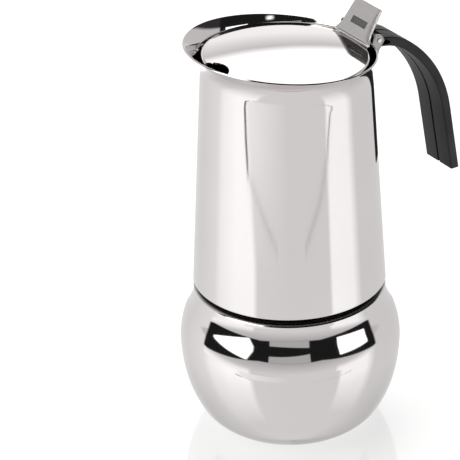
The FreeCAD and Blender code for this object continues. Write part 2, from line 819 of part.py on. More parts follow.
def lever_line(x, lift):
    # Height of the lever's lower face, or of a face lifted off it.
    return size["lever_root_z"] + lever_rise() * (x - size["lever_root_x"]) + lift


def make_lever():
    gauge = size["lever_sheet"]
    root_x, root_z = size["lever_root_x"], size["lever_root_z"]
    tip_x, tip_z = size["lever_tip_x"], size["lever_tip_z"]
    flange_x = root_x - size["lever_flange"]
    flange_z = root_z + size["lever_flange_rise"]
    angle = lever_angle()
    lift = gauge / cosine(angle)
    bend_x = root_x - gauge * sine(angle / 2) / cosine(angle / 2)
    plate = extruded("lever_plate", [
        (flange_x, flange_z),
        (root_x, root_z),
        (tip_x, tip_z),
        (tip_x - gauge * sine(angle), tip_z + gauge * cosine(angle)),
        (bend_x, lever_line(bend_x, lift)),
        (flange_x, flange_z + gauge),
    ], past)
    half_root = size["lever_root_half"]
    half_waist = size["lever_waist_half"]
    half_tip = size["lever_tip_half"]
    waist_x = root_x + size["lever_waist"]
    flare_arc = size["lever_flare_arc"]
    plan = extruded("lever_plan", [
        (flange_x - gauge, -half_root),
        (root_x, -half_root),
        (waist_x, -half_waist, -flare_arc),
        (tip_x + gauge, -half_tip),
        (tip_x + gauge, half_tip),
        (waist_x, half_waist),
        (root_x, half_root, -flare_arc),
        (flange_x - gauge, half_root),
    ], tip_z + past, upright=False)
    sheet_part = common("lever_sheet_part", [plate, plan])

    eye = size["eye_radius"]
    pin_x, pin_z = size["pin_x"], size["pin_z"]
    ear_low = pin_x - eye
    ear_high = pin_x + eye
    ear_front = pin_x - size["ear_front"]
    ear_back = pin_x - size["ear_back"]
    ear_bite = size["ear_bite"]
    ear_outline = [
        (ear_low, pin_z),
        (pin_x, pin_z - eye, eye),
        (ear_high, pin_z, eye),
        (ear_back, lever_line(ear_back, ear_bite)),
        (ear_front, lever_line(ear_front, ear_bite)),
    ]
    ears = cut(
        "lever_ears",
        extruded("ear_block", ear_outline, size["ear_outer"]),
        box("ear_gap", (pin_x - past, pin_x + past), size["ear_inner"], (pin_z - past, pin_z + past)),
    )
    pin_hole = crosswise("ear_hole", size["pin_radius"] + size["ear_play"], pin_x, pin_z, past)
    ears = cut("lever_ears_drilled", ears, pin_hole)
    whole = fused("lever_whole", [sheet_part, ears])

    recess_x = root_x + size["recess_start"]
    recess = doc.addObject("Part::Box", "lever_recess")
    bind(recess, "Length", size["recess_height"])
    bind(recess, "Width", 2 * size["recess_half"])
    bind(recess, "Height", past)
    floor = lever_line(recess_x, (gauge - size["recess_depth"]) / cosine(angle))
    place(recess, recess_x, -size["recess_half"], floor, tilt=-angle)
    keep("lid_lever", cut("lid_lever", whole, recess))


def handle_curve(inset, root_angle):
    # Corners of the strap's outer curve, moved in by inset: end, knee, bend and root.
    lean, bend_angle = size["handle_lean"], size["handle_big_end"]
    big, small = size["handle_big_arc"], size["handle_small_arc"]
    knee_x = size["handle_tip_x"] - size["handle_straight"] * sine(lean)
    knee_z = size["handle_tip_z"] + size["handle_straight"] * cosine(lean)
    big_x = knee_x - big * cosine(lean)
    big_z = knee_z - big * sine(lean)
    small_x = big_x + (big - small) * cosine(bend_angle)
    small_z = big_z + (big - small) * sine(bend_angle)
    return {
        "end": (size["handle_tip_x"] - inset / cosine(lean), size["handle_tip_z"]),
        "knee": (big_x + (big - inset) * cosine(lean), big_z + (big - inset) * sine(lean)),
        "bend": (big_x + (big - inset) * cosine(bend_angle), big_z + (big - inset) * sine(bend_angle)),
        "root": (
            small_x + (small - inset) * cosine(root_angle),
            small_z + (small - inset) * sine(root_angle),
        ),
        "big": big - inset,
        "small": small - inset,
    }


def strap_outline(outer, inner, root=()):
    return [
        outer["end"],
        outer["knee"],
        outer["bend"] + (outer["big"],),
        outer["root"] + (outer["small"],),
        *root,
        inner["root"],
        inner["bend"] + (-inner["small"],),
        inner["knee"] + (-inner["big"],),
        inner["end"],
    ]


def make_handle():
    thickness = size["handle_thickness"]
    depth = size["groove_depth"]
    root_x = size["root_x"]
    root_angle = size["handle_root_end"]
    outer = handle_curve(as_size(0), root_angle)
    inner = handle_curve(thickness, root_angle)
    root = [(root_x, outer["root"][1]), (root_x, inner["root"][1])]
    strap = extruded("handle_strap", strap_outline(outer, inner, root), size["handle_half"])

    pin_x, pin_z = size["pin_x"], size["pin_z"]
    lug_top = pin_z + size["lug_rise"]
    lug_low = size["tongue_top"] + size["lug_lift"]
    lug_back = pin_x + size["lug_reach"]
    lug_outline = [
        (root_x, lug_low),
        (lug_back, lug_low),
        (lug_back, pin_z - size["lug_drop"]),
        (pin_x + size["lug_flat"], lug_top),
        (root_x + size["lug_chamfer"], lug_top),
        (root_x, lug_top - size["lug_chamfer"]),
    ]
    lugs = extruded("handle_lugs", lug_outline, size["handle_half"])
    body = fused("handle_body", [strap, lugs])

    slot_floor = pin_z - size["eye_radius"] - size["slot_play"]
    slot_top = pin_z + size["slot_rise"]
    slot_front = root_x - thickness
    slot_outline = [
        (slot_front, slot_floor),
        (pin_x + size["slot_reach"], slot_floor),
        (pin_x + size["slot_flare"], slot_top),
        (slot_front, slot_top),
    ]
    slot = extruded("handle_slot", slot_outline, size["lug_inner"])

    tongue_top = size["tongue_top"]
    play = size["rebate_play"]
    rebate_span = (slot_front, size["screw_x"] + size["tongue_reach"] + play)
    rebate_half = size["tongue_half"] + play
    rebate = box("handle_rebate", rebate_span, rebate_half, (tongue_top - past, tongue_top))
    pin_hole = crosswise("handle_pin_hole", size["pin_radius"] + size["slack"], pin_x, pin_z, past)
    hole_low = tongue_top - size["tongue_sheet"]
    hole_depth = size["tongue_sheet"] + size["screw_length"] + play
    screw_hole = cylinder("handle_screw_hole", size["screw_radius"] + size["slack"], hole_depth)
    place(screw_hole, size["screw_x"], 0, hole_low)

    groove_end = size["groove_root_end"]
    floor_curve = handle_curve(thickness - depth, groove_end)
    below_curve = handle_curve(thickness + depth, groove_end)
    inner_groove = extruded("inner_groove", strap_outline(floor_curve, below_curve), size["groove_half"])
    above_curve = handle_curve(-depth, groove_end)
    crest_curve = handle_curve(depth, groove_end)
    outer_groove = extruded("outer_groove", strap_outline(above_curve, crest_curve), size["groove_half"])
    tools = [slot, rebate, pin_hole, screw_hole, inner_groove, outer_groove]
    for number, tool in enumerate(tools):
        body = cut("handle_step_%d" % number, body, tool)
    keep("handle", body)


def make_bracket():
    gauge = size["arm_sheet"]
    arm_outer = size["arm_inner"] + gauge
    low, high = size["saddle_low"], size["saddle_high"]
    low_radius, high_radius = jug_radius(low), jug_radius(high)
    bed = size["saddle_bed"]
    saddle_outer = cone("saddle_outer", low_radius + gauge, high_radius + gauge, high - low)
    saddle_inner = cone("saddle_inner", low_radius - bed, high_radius - bed, high - low)
    shell = cut("saddle_ring", place(saddle_outer, 0, 0, low), place(saddle_inner, 0, 0, low))
    arm_left = size["arm_left"]
    near_arm = (arm_left - past, arm_left + past)
    saddle = common("saddle", [shell, box("saddle_span", near_arm, arm_outer, (low, high))])

    pin_x, pin_z = size["pin_x"], size["pin_z"]
    arm_top = pin_z + size["arm_rise"]
    arm_outline = [
        (arm_left, low),
        (arm_left + size["arm_foot"], low),
        (pin_x, pin_z - size["arm_throat"]),
        (pin_x + size["tail_reach"], pin_z - size["tail_drop"]),
        (pin_x + size["arm_crown"], arm_top),
        (pin_x - size["arm_brow"], arm_top, size["arm_brow_arc"]),
        (pin_x - size["arm_neck"], pin_z - size["arm_neck_drop"]),
        (arm_left, high),
    ]
    arm_block = extruded("arm_block", arm_outline, arm_outer)
    arm_gap = box("arm_gap", near_arm, size["arm_inner"], (low - past, low + 2 * past))
    arms = cut("bracket_arms", arm_block, arm_gap)

    tongue_top = size["tongue_top"]
    tongue_low = tongue_top - size["tongue_sheet"]
    half = size["tongue_half"]
    web_x = size["web_x"]
    tongue = box("tongue", (web_x, size["screw_x"] + size["tongue_reach"]), half, (tongue_low, tongue_top))
    web = box("tongue_web", (web_x, web_x + gauge), half, (high - size["web_bite"], tongue_low))
    metal = fused("bracket_metal", [saddle, arms, tongue, web])
    pin_hole = crosswise("arm_pin_hole", size["pin_radius"] + size["slack"], pin_x, pin_z, past)
    screw_hole = cylinder("tongue_hole", size["screw_radius"] + size["slack"], 3 * size["tongue_sheet"])
    place(screw_hole, size["screw_x"], 0, tongue_low - size["tongue_sheet"])
    drilled = cut("bracket_drilled", metal, pin_hole)
    keep("hinge_bracket", cut("hinge_bracket", drilled, screw_hole))

    pin_half = arm_outer + size["pin_proud"]
    keep("hinge_pin", crosswise("hinge_pin", size["pin_radius"], pin_x, pin_z, pin_half))

    head_low = tongue_low - size["head_height"]
    screw_top = tongue_top + size["screw_length"]
    screw = revolved("handle_screw", [
        (0, head_low),
        (size["head_flat"], head_low),
        (size["head_radius"], tongue_low, size["head_arc"]),
        (size["screw_radius"], tongue_low),
        (size["screw_radius"], screw_top),
        (0, screw_top),
    ])
    keep("handle_screw", place(screw, size["screw_x"]))


make_boiler()
make_valve()
make_funnel()
make_seal()
make_jug()
make_lid()
make_lever()
make_handle()
make_bracket()
doc.recompute()

faults = [item.Name for item in doc.Objects if "Invalid" in item.State or "Error" in item.State]
for node, item in nodes.items():
    shape = item.Shape
    if shape.isNull() or not shape.isValid() or shape.Volume <= 0:
        faults.append(node)
if faults:
    raise RuntimeError("failed: " + ", ".join(faults))

os.makedirs("parts", exist_ok=True)
for node, item in nodes.items():
    item.Shape.exportStep("parts/%s.step" % node)
    span = item.Shape.BoundBox
    told = (node, len(item.Shape.Solids), item.Shape.Volume, span.ZMin, span.ZMax)
    print("%-14s solids %d volume %8.1f  z %.2f to %.2f" % told)
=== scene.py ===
import bmesh
import bpy
import math
from mathutils import Matrix, Vector


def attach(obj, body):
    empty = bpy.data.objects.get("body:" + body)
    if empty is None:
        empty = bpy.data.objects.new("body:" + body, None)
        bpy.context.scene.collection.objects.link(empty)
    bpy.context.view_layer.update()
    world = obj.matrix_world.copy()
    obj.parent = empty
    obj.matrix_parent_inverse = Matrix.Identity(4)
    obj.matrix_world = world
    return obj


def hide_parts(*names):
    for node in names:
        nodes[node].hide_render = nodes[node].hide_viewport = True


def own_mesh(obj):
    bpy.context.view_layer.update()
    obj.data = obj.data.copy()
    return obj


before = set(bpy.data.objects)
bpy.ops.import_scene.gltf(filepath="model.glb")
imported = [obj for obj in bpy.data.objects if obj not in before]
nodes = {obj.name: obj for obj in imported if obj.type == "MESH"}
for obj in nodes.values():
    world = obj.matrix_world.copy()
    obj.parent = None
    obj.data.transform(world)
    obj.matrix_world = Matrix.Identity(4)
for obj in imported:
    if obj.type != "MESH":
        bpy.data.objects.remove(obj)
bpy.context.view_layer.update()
mm = 0.001
print("frame loaded,", len(nodes), "nodes")


class Flow:  # one shader socket; arithmetic on it adds Math nodes
    def __init__(self, tree, socket):
        self.tree = tree
        self.socket = socket

    def maths(self, operation, first, second=0.0):
        node = self.tree.nodes.new("ShaderNodeMath")
        node.operation = operation
        for slot, value in zip(node.inputs, (first, second)):
            plug(self.tree, slot, value)
        return Flow(self.tree, node.outputs[0])

    def __add__(self, other):
        return self.maths("ADD", self, other)

    __radd__ = __add__

    def __sub__(self, other):
        return self.maths("SUBTRACT", self, other)

    def __rsub__(self, other):
        return self.maths("SUBTRACT", other, self)

    def __mul__(self, other):
        return self.maths("MULTIPLY", self, other)

    __rmul__ = __mul__

    def __gt__(self, other):
        return self.maths("GREATER_THAN", self, other)

    def __lt__(self, other):
        return self.maths("LESS_THAN", self, other)

    def __abs__(self):
        return self.maths("ABSOLUTE", self)


def plug(tree, slot, value):
    if isinstance(value, Flow):
        tree.links.new(value.socket, slot)
    else:
        slot.default_value = value


class Paint:  # a node tree; node() adds any node with its settings and sockets
    def __init__(self, tree):
        self.tree = tree
        tree.nodes.clear()

    def node(self, kind, settings=None, sockets=None, output=0):
        made = self.tree.nodes.new(kind)
        for name, value in (settings or {}).items():
            if name == "stops":
                ramp = made.color_ramp
                while len(ramp.elements) < len(value):
                    ramp.elements.new(0.5)
                for element, (spot, tone) in zip(ramp.elements, value):
                    element.position = spot
                    element.color = tone
            else:
                setattr(made, name, value)
        for name, value in (sockets or {}).items():
            plug(self.tree, made.inputs[name], value)
        return Flow(self.tree, made.outputs[output]) if made.outputs else None

    def place(self):
        return self.node("ShaderNodeTexCoord", output="Object")

    def stretched(self, scale):  # object coordinates squeezed along the axes
        return self.node("ShaderNodeMapping", {}, {"Vector": self.place(), "Scale": scale})

    def noise(self, scale, detail, vector=None):
        sockets = {"Vector": vector or self.place(), "Scale": scale, "Detail": detail, "Roughness": 0.5}
        return self.node("ShaderNodeTexNoise", {}, sockets, "Fac")

    def ramp(self, value, stops):
        return self.node("ShaderNodeValToRGB", {"stops": stops}, {"Fac": value})

    def span(self, value, low, high, outLow, outHigh):
        sockets = {"Value": value, "From Min": low, "From Max": high, "To Min": outLow, "To Max": outHigh}
        return self.node("ShaderNodeMapRange", {"clamp": True}, sockets)

    def vary(self, noise, low, high):  # over the values that a noise mostly has
        return self.span(noise, 0.3, 0.7, low, high)

    def profile(self, value, stops):  # straight stretches between stops of place and tone
        total = stops[0][1]
        for (low, lowTone), (high, highTone) in zip(stops, stops[1:]):
            total = total + self.span(value, low, high, 0, highTone - lowTone)
        return total

    def axes(self, vector):
        return [self.node("ShaderNodeSeparateXYZ", {}, {"Vector": vector}, name) for name in "XYZ"]

    def colour(self, red, green, blue):
        return self.node("ShaderNodeCombineColor", {}, {"Red": red, "Green": green, "Blue": blue})

    def bump(self, height, strength, distance):
        sockets = {"Height": height, "Strength": strength, "Distance": distance}
        return self.node("ShaderNodeBump", {}, sockets, "Normal")


def newPaint(name):
    material = bpy.data.materials.new(name)
    material.use_nodes = True
    return material, Paint(material.node_tree)


def surface(paint, sockets):
    shader = paint.node("ShaderNodeBsdfPrincipled", {}, sockets, "BSDF")
    paint.node("ShaderNodeOutputMaterial", {}, {"Surface": shader})


steelTint = (1.0, 0.962, 0.953)


def steelColour(paint, tone):
    return paint.colour(*(tone * share for share in steelTint))


mirrorLook = {
    "tone": (0.663, 0.687), "gloss": (0.03, 0.06), "haze": 24, "dust": 900, "dustGloss": 0.015,
    "lines": 1500, "lineStretch": (0.012, 0.012, 1.0), "lineBump": 0.5, "lineDepth": 0.0000016,
    "neckPaintedShade": 0.88, "neckGloss": 0.3, "neckEdge": 0.0004,
}


def mirrorSteel(name, look, neckHeight=None):
    material, paint = newPaint(name)
    lines = paint.noise(look["lines"], 2, paint.stretched(look["lineStretch"]))  # left by the polishing
    haze = paint.noise(look["haze"], 4)  # faint, from handling
    dust = paint.noise(look["dust"], 2)
    tone = paint.vary(haze, *look["tone"])
    gloss = paint.span(haze, 0.35, 0.75, *look["gloss"]) + paint.span(dust, 0.6, 0.8, 0, look["dustGloss"])
    if neckHeight:
        height, edge = paint.axes(paint.place())[2], look["neckEdge"]
        neck = paint.span(height, neckHeight - edge, neckHeight + edge, 0, 1)
        tone = tone * (1 - neck * look["neckPaintedShade"])  # painted shade: the neck above this height is darkened for the shadow it sits in under the jug
        gloss = gloss + neck * look["neckGloss"]
    surface(paint, {
        "Base Color": steelColour(paint, tone),
        "Metallic": 1.0,
        "Roughness": gloss,
        "Normal": paint.bump(lines, look["lineBump"], look["lineDepth"]),
    })
    return material


satinLook = {
    "tone": 0.62, "toneSpread": 0.025, "gloss": 0.16, "glossSpread": 0.08, "cloud": 60,
    "brush": 2600, "brushBump": 0.35, "brushDepth": 0.000003, "recessPrintAndShade": 0.72, "recessGloss": 0.15,
}


def satinSteel(name, look, brushing=(1.0, 0.03, 1.0), recess=None):
    material, paint = newPaint(name)
    lines = paint.noise(look["brush"], 3, paint.stretched(brushing))
    cloud = paint.noise(look["cloud"], 3)
    tone = paint.vary(lines, look["tone"] - look["toneSpread"], look["tone"] + look["toneSpread"])
    worn = lines * 0.6 + cloud * 0.4
    gloss = paint.span(worn, 0.35, 0.65, look["gloss"], look["gloss"] + look["glossSpread"])
    if recess:
        x, y, z = paint.axes(paint.place())
        rootX, rootZ = recess["root"]
        upX, upZ = recess["up"]
        along = (x - rootX) * upX + (z - rootZ) * upZ
        depth = (z - rootZ) * upX - (x - rootX) * upZ
        floor = (abs(y) < recess["half"]) * (along > recess["start"]) * (along < recess["end"])
        floor = floor * (depth > recess["low"]) * (depth < recess["high"])
        tone = tone * (1 - floor * look["recessPrintAndShade"])  # painted shade: the recess floor is darkened to stand in for the lettering printed there and the dark reflection in it
        gloss = gloss + floor * look["recessGloss"]
    surface(paint, {
        "Base Color": steelColour(paint, tone),
        "Metallic": 1.0,
        "Roughness": gloss,
        "Normal": paint.bump(lines, look["brushBump"], look["brushDepth"]),
    })
    return material


blackLook = {
    "tone": (0.0085, 0.0115), "coolness": 1.04, "gloss": (0.40, 0.56), "specular": 0.24, "cloud": 45,
    "wornTone": 0.012, "wornEdge": 0.0011, "wornGloss": 0.12,
    "grain": 2300, "grainBump": 0.5, "grainDepth": 0.00006,
}


def blackMoulding(name, look, half):
    material, paint = newPaint(name)
    grain = paint.noise(look["grain"], 3)  # fine spark-eroded grain
    cloud = paint.noise(look["cloud"], 4)
    across = abs(paint.axes(paint.place())[1])
    edge = paint.span(across, half - look["wornEdge"], half, 0, 1) * paint.span(cloud, 0.4, 0.65, 0.2, 1)
    tone = paint.vary(cloud, *look["tone"]) + edge * look["wornTone"]
    surface(paint, {
        "Base Color": paint.colour(tone, tone, tone * look["coolness"]),
        "Roughness": paint.vary(grain, *look["gloss"]) - edge * look["wornGloss"],
        "Specular IOR Level": look["specular"],
        "Normal": paint.bump(grain, look["grainBump"], look["grainDepth"]),
    })
    return material


brassLook = {
    "light": (0.80, 0.60, 0.28, 1), "dark": (0.58, 0.38, 0.15, 1), "gloss": (0.20, 0.42), "tarnish": 130,
    "lines": 1900, "lineStretch": (0.05, 1.0, 0.05), "lineBump": 0.4, "lineDepth": 0.00001,
}


def turnedBrass(name, look):
    material, paint = newPaint(name)
    lines = paint.noise(look["lines"], 2, paint.stretched(look["lineStretch"]))
    tarnish = paint.noise(look["tarnish"], 5)
    surface(paint, {
        "Base Color": paint.ramp(tarnish, [(0.35, look["light"]), (0.72, look["dark"])]),
        "Metallic": 1.0,
        "Roughness": paint.vary(tarnish, *look["gloss"]),
        "Normal": paint.bump(lines, look["lineBump"], look["lineDepth"]),
    })
    return material


rubberLook = {
    "light": (0.80, 0.79, 0.75, 1), "stain": (0.62, 0.55, 0.46, 1), "gloss": (0.37, 0.55), "stains": 55,
    "grain": 1500, "grainBump": 0.3, "grainDepth": 0.00003,
}
fibreLook = dict(rubberLook, light=(0.36, 0.10, 0.06, 1), stain=(0.20, 0.06, 0.04, 1), gloss=(0.62, 0.80))


def sealRubber(name, look):
    material, paint = newPaint(name)
    stain = paint.noise(look["stains"], 4)
    grain = paint.noise(look["grain"], 2)
    surface(paint, {
        "Base Color": paint.ramp(stain, [(0.42, look["light"]), (0.78, look["stain"])]),
        "Roughness": paint.vary(grain, *look["gloss"]),
        "Normal": paint.bump(grain, look["grainBump"], look["grainDepth"]),
    })
    return material


# boiler, lever and handle add finishes that follow their own sizes
finishes = {
    "polished_steel": mirrorSteel("polishedSteel", mirrorLook),
    "plain_steel": satinSteel("pressedSteel", dict(satinLook, tone=0.64), brushing=(0.04, 0.04, 1.0)),
    # hinge steel darkened to tone 0.3 for the dark reflection it shows: painted reflection on the same satin
    # steel
    "hingeShadedSteel": satinSteel("hingeShadedSteel", dict(satinLook, tone=0.3)),
    "plateSteel": satinSteel("plateSteel", dict(satinLook, gloss=0.2), brushing=(1.0, 0.05, 1.0)),
    "brass": turnedBrass("turnedBrass", brassLook),
    "silicone": sealRubber("siliconeRing", rubberLook),
    "fibre_seal": sealRubber("fibreWasher", fibreLook),
}
print("finishes made:", len(finishes))


def deselectAll():
    if bpy.context.object is not None and bpy.context.object.mode != "OBJECT":
        bpy.ops.object.mode_set(mode="OBJECT")
    bpy.ops.object.select_all(action="DESELECT")


def takeUp(piece):
    deselectAll()
    piece.select_set(True)
    bpy.context.view_layer.objects.active = piece


def openEdit(piece):
    takeUp(piece)
    bpy.ops.object.mode_set(mode="EDIT")


def selectAll(kind=None):
    if kind:
        bpy.ops.mesh.select_mode(type=kind)
    bpy.ops.mesh.select_all(action="SELECT")


def extrude(offset):
    bpy.ops.mesh.extrude_region_move(TRANSFORM_OT_translate={"value": offset})


def nameNew(name):  # names the primitive that was just added
    piece = bpy.context.object
    piece.name = piece.data.name = name
    return piece


def settle(name):  # applies where the new primitive was put
    bpy.ops.object.transform_apply(location=True, rotation=True, scale=True)
    return nameNew(name)


def pick(piece, test, kind="FACE"):  # selects faces or edges by the place of their middle
    bpy.ops.mesh.select_mode(type=kind)
    bpy.ops.mesh.select_all(action="DESELECT")
    cage = bmesh.from_edit_mesh(piece.data)
    for item in {"FACE": cage.faces, "EDGE": cage.edges}[kind]:
        middle = sum((v.co for v in item.verts), Vector()) / len(item.verts)
        item.select_set(bool(test(middle / mm)))
    cage.select_flush_mode()
    bmesh.update_edit_mesh(piece.data)


def modify(piece, kind, **settings):
    takeUp(piece)
    modifier = piece.modifiers.new(kind.title(), kind)
    for name, value in settings.items():
        setattr(modifier, name, value)
    bpy.ops.object.modifier_apply(modifier=modifier.name)


def cutAway(piece, cutter, operation="DIFFERENCE"):
    modify(piece, "BOOLEAN", operation=operation, solver="EXACT", object=cutter)
    bpy.data.objects.remove(cutter)


def softEdges(piece, width, segments=2, limit=40):
    modify(piece, "BEVEL", width=width * mm, segments=segments, limit_method="ANGLE",
           angle_limit=math.radians(limit), use_clamp_overlap=True)


def cleanMesh(piece):
    selectAll("VERT")
    bpy.ops.mesh.remove_doubles(threshold=1e-6)
    bpy.ops.mesh.normals_make_consistent(inside=False)
    bpy.ops.object.mode_set(mode="OBJECT")


def shiftMesh(piece, offset):
    openEdit(piece)
    selectAll()
    bpy.ops.transform.translate(value=offset)


def drawLine(name, spots, closed=False):  # a line of points drawn by extruding one vertex
    deselectAll()
    bpy.ops.mesh.primitive_plane_add(size=0.01, location=(0, 0, 0))
    piece = nameNew(name)
    bpy.ops.object.mode_set(mode="EDIT")
    selectAll("VERT")
    bpy.ops.mesh.merge(type="CENTER")
    bpy.ops.transform.translate(value=spots[0])
    for before, after in zip(spots, spots[1:]):
        extrude(after - before)
    selectAll()
    if closed:
        bpy.ops.mesh.edge_face_add()
        bpy.ops.mesh.delete(type="ONLY_FACE")
        selectAll()
    return piece


def outline(corners, turn=2.5, shortest=0.16):
    # a third number makes the stretch up to that corner an arc, left turning if positive
    spots = [Vector(corners[0][:2])]
    for corner in corners[1:]:
        start, end = spots[-1], Vector(corner[:2])
        if len(corner) == 3:
            radius, chord = corner[2], end - start
            side = math.copysign(1, radius)
            left = Vector((-chord.y, chord.x)).normalized()
            reach = math.sqrt(max(radius ** 2 - chord.length_squared / 4, 0))
            centre = (start + end) / 2 + left * side * reach
            first = math.atan2(start.y - centre.y, start.x - centre.x)
            sweep = side * 2 * math.asin(min(chord.length / 2 / abs(radius), 1))
            finest = abs(radius * sweep) / shortest
            count = max(3, math.ceil(min(abs(math.degrees(sweep)) / turn, finest)))
            for step in range(1, count):
                angle = first + sweep * step / count
                spots.append(centre + abs(radius) * Vector((math.cos(angle), math.sin(angle))))
        spots.append(end)
    return spots


def spinPiece(name, corners, steps=144, turn=2.5, valveHeight=None):
    # turned part; with a valve height it is turned round the valve's own axis along Y
    flat = outline(corners, turn)
    if valveHeight is None:
        spots = [Vector((s.x, 0, s.y)) * mm for s in flat]
        centre, axis = (0, 0, 0), (0, 0, 1)
    else:
        spots = [Vector((0, s.y, valveHeight + s.x)) * mm for s in flat]
        centre, axis = (0, 0, valveHeight * mm), (0, 1, 0)
    solid = corners[0][0] == 0 and corners[-1][0] == 0
    piece = drawLine(name, spots, closed=not solid)
    bpy.ops.mesh.spin(steps=steps, angle=math.tau, center=centre, axis=axis)
    cleanMesh(piece)
    return piece


def platePiece(name, corners, low, high, turn=12):  # outline in XZ given a thickness along Y
    spots = [Vector((s.x, low, s.y)) * mm for s in outline(corners, turn)]
    piece = drawLine(name, spots, closed=True)
    bpy.ops.mesh.edge_face_add()
    extrude((0, (high - low) * mm, 0))
    cleanMesh(piece)
    return piece


def roundBar(name, radius, start, end, vertices=48):
    deselectAll()
    along = Vector(end) - Vector(start)
    middle = (Vector(start) + Vector(end)) / 2 * mm
    turn = along.to_track_quat("Z", "Y").to_euler()
    bpy.ops.mesh.primitive_cylinder_add(
        vertices=vertices, radius=radius * mm, depth=along.length * mm, location=middle, rotation=turn)
    return settle(name)


def blockBar(name, low, high):
    deselectAll()
    middle = (Vector(low) + Vector(high)) / 2 * mm
    bpy.ops.mesh.primitive_cube_add(size=1, location=middle, scale=(Vector(high) - Vector(low)) * mm)
    return settle(name)


def joinPieces(main, others):
    takeUp(main)
    for other in others:
        other.select_set(True)
    bpy.ops.object.join()


def finishPiece(piece, node, body, slot, finish=None, angle=32):
    takeUp(piece)
    bpy.ops.object.shade_smooth_by_angle(angle=math.radians(angle))
    piece.data.materials.clear()
    piece.data.materials.append(finishes[finish or slot])
    if node:
        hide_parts(node)
    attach(piece, body)
    print("piece", piece.name, len(piece.data.polygons), "faces")


# sizes in millimetres and degrees; a third number after a place is the radius of the arc up to it
boiler = {
    "disc": 37.04, "floor": 2.4, "floorSheet": 0.9, "floorSpread": 2.5, "lift": 0.3, "wall": 1.2,
    "base": 38.5, "baseRun": 0.5, "baseRise": 0.15, "baseRound": 1.0,
    "heel": (49.35, 10.0, 22.6), "belly": (58.62, 45.85, 76.0), "waist": (53.94, 66.7, 47.0),
    "shoulder": (50.4, 78.6, -38.0), "neck": 46.0, "neckFoot": 80.2, "neckRound": 5.0, "neckTop": 95.0,
    "lip": 0.4, "paintedShadeFrom": 79.2, "threadRise": 2.0, "threadTurns": 5, "threadDrop": 3.0,
    "ridge": (0.15, 0.22, 0.55),  # sunk in the neck, standing proud, half width
}


def makeBoiler(b):
    wall, neck, top, lip = b["wall"], b["neck"], b["neckTop"], b["lip"]
    heel, belly, waist, shoulder = b["heel"], b["belly"], b["waist"], b["shoulder"]
    bore, floorTop = neck - wall, b["floor"] + b["floorSheet"]
    shell = spinPiece("boilerShell", [
        (0, b["floor"]),
        (b["disc"], b["floor"]),
        (b["disc"], b["lift"]),
        (b["base"] - b["baseRun"], b["lift"]),
        (b["base"], b["lift"] + b["baseRise"], b["baseRound"]),
        heel,
        belly,
        waist,
        shoulder,
        (neck, b["neckFoot"], b["neckRound"]),
        (neck, top - lip),
        (neck - lip, top, lip),
        (bore + lip, top),
        (bore, top - lip, lip),
        (bore, b["neckFoot"] - wall),
        (shoulder[0] - wall, shoulder[1] - wall),
        (waist[0] - wall, waist[1], -shoulder[2]),
        (belly[0] - wall, belly[1], -waist[2]),
        (heel[0] - wall, heel[1], -belly[2]),
        (b["base"] + b["floorSpread"], floorTop),
        (0, floorTop),
    ], steps=192, turn=1.2)
    # the boiler's steel gets painted shade on its neck, which sits in shadow under the jug
    finishes["boilerSteel"] = mirrorSteel("boilerSteel", mirrorLook, neckHeight=b["paintedShadeFrom"] * mm)
    finishPiece(shell, "boiler", "boiler", "polished_steel", "boilerSteel")

    sunk, proud, half = b["ridge"]
    low = top - b["threadTurns"] * b["threadRise"] - b["threadDrop"]
    ridge = [(neck - sunk, 0, low), (neck + proud, 0, low + half), (neck - sunk, 0, low + 2 * half)]
    thread = drawLine("neckThread", [Vector(spot) * mm for spot in ridge], closed=True)
    modify(thread, "SCREW", axis="Z", angle=math.tau, screw_offset=b["threadRise"] * mm,
           iterations=b["threadTurns"], steps=96, render_steps=96, use_merge_vertices=False)
    openEdit(thread)
    selectAll()
    bpy.ops.mesh.fill_holes(sides=4)
    cleanMesh(thread)
    finishPiece(thread, None, "boiler", "plain_steel")


baseDisc = {
    "radius": 37.0, "thickness": 2.4, "edge": 0.5,
    "rings": (8, 14, 20, 26, 32), "ringHalf": 0.5, "ringDepth": 0.12,
}


def makeBaseDisc(d):
    radius, edge, half = d["radius"], d["edge"], d["ringHalf"]
    corners = [(0, 0)]
    for ring in d["rings"]:  # fine turned rings on the underside
        corners += [(ring - half, 0), (ring, d["ringDepth"]), (ring + half, 0)]
    corners += [(radius - edge, 0), (radius, edge, edge), (radius, d["thickness"]), (0, d["thickness"])]
    disc = spinPiece("baseDisc", corners)
    finishPiece(disc, "base_disc", "boiler", "satin_steel", "plain_steel")


valve = {
    "height": 52.0, "bore": 4.54, "edge": 0.4, "boss": 7.4, "bossIn": 54.5, "bossOut": 60.2,
    "washerPlay": 0.02, "washerEdge": (0.15, 0.3),
    "hex": 7.5, "hexIn": 61.2, "hexOut": 66.2, "chamfer": 7.6, "faceIn": (7.0, 0.4), "faceOut": (6.4, 0.6),
    "spigot": 4.5, "spigotGrip": 1.0, "inner": 52.8, "seat": 54.5, "hole": 1.6, "chamber": 3.2,
    "drill": (50, 70),
    "cap": 4.8, "capHeight": 1.4, "capRound": 0.6,
    "plunger": 2.7, "plungerEdge": 0.3, "plungerBack": 56.2, "stem": 1.3, "stemEnd": 70.2, "tip": (0.7, 0.6),
}


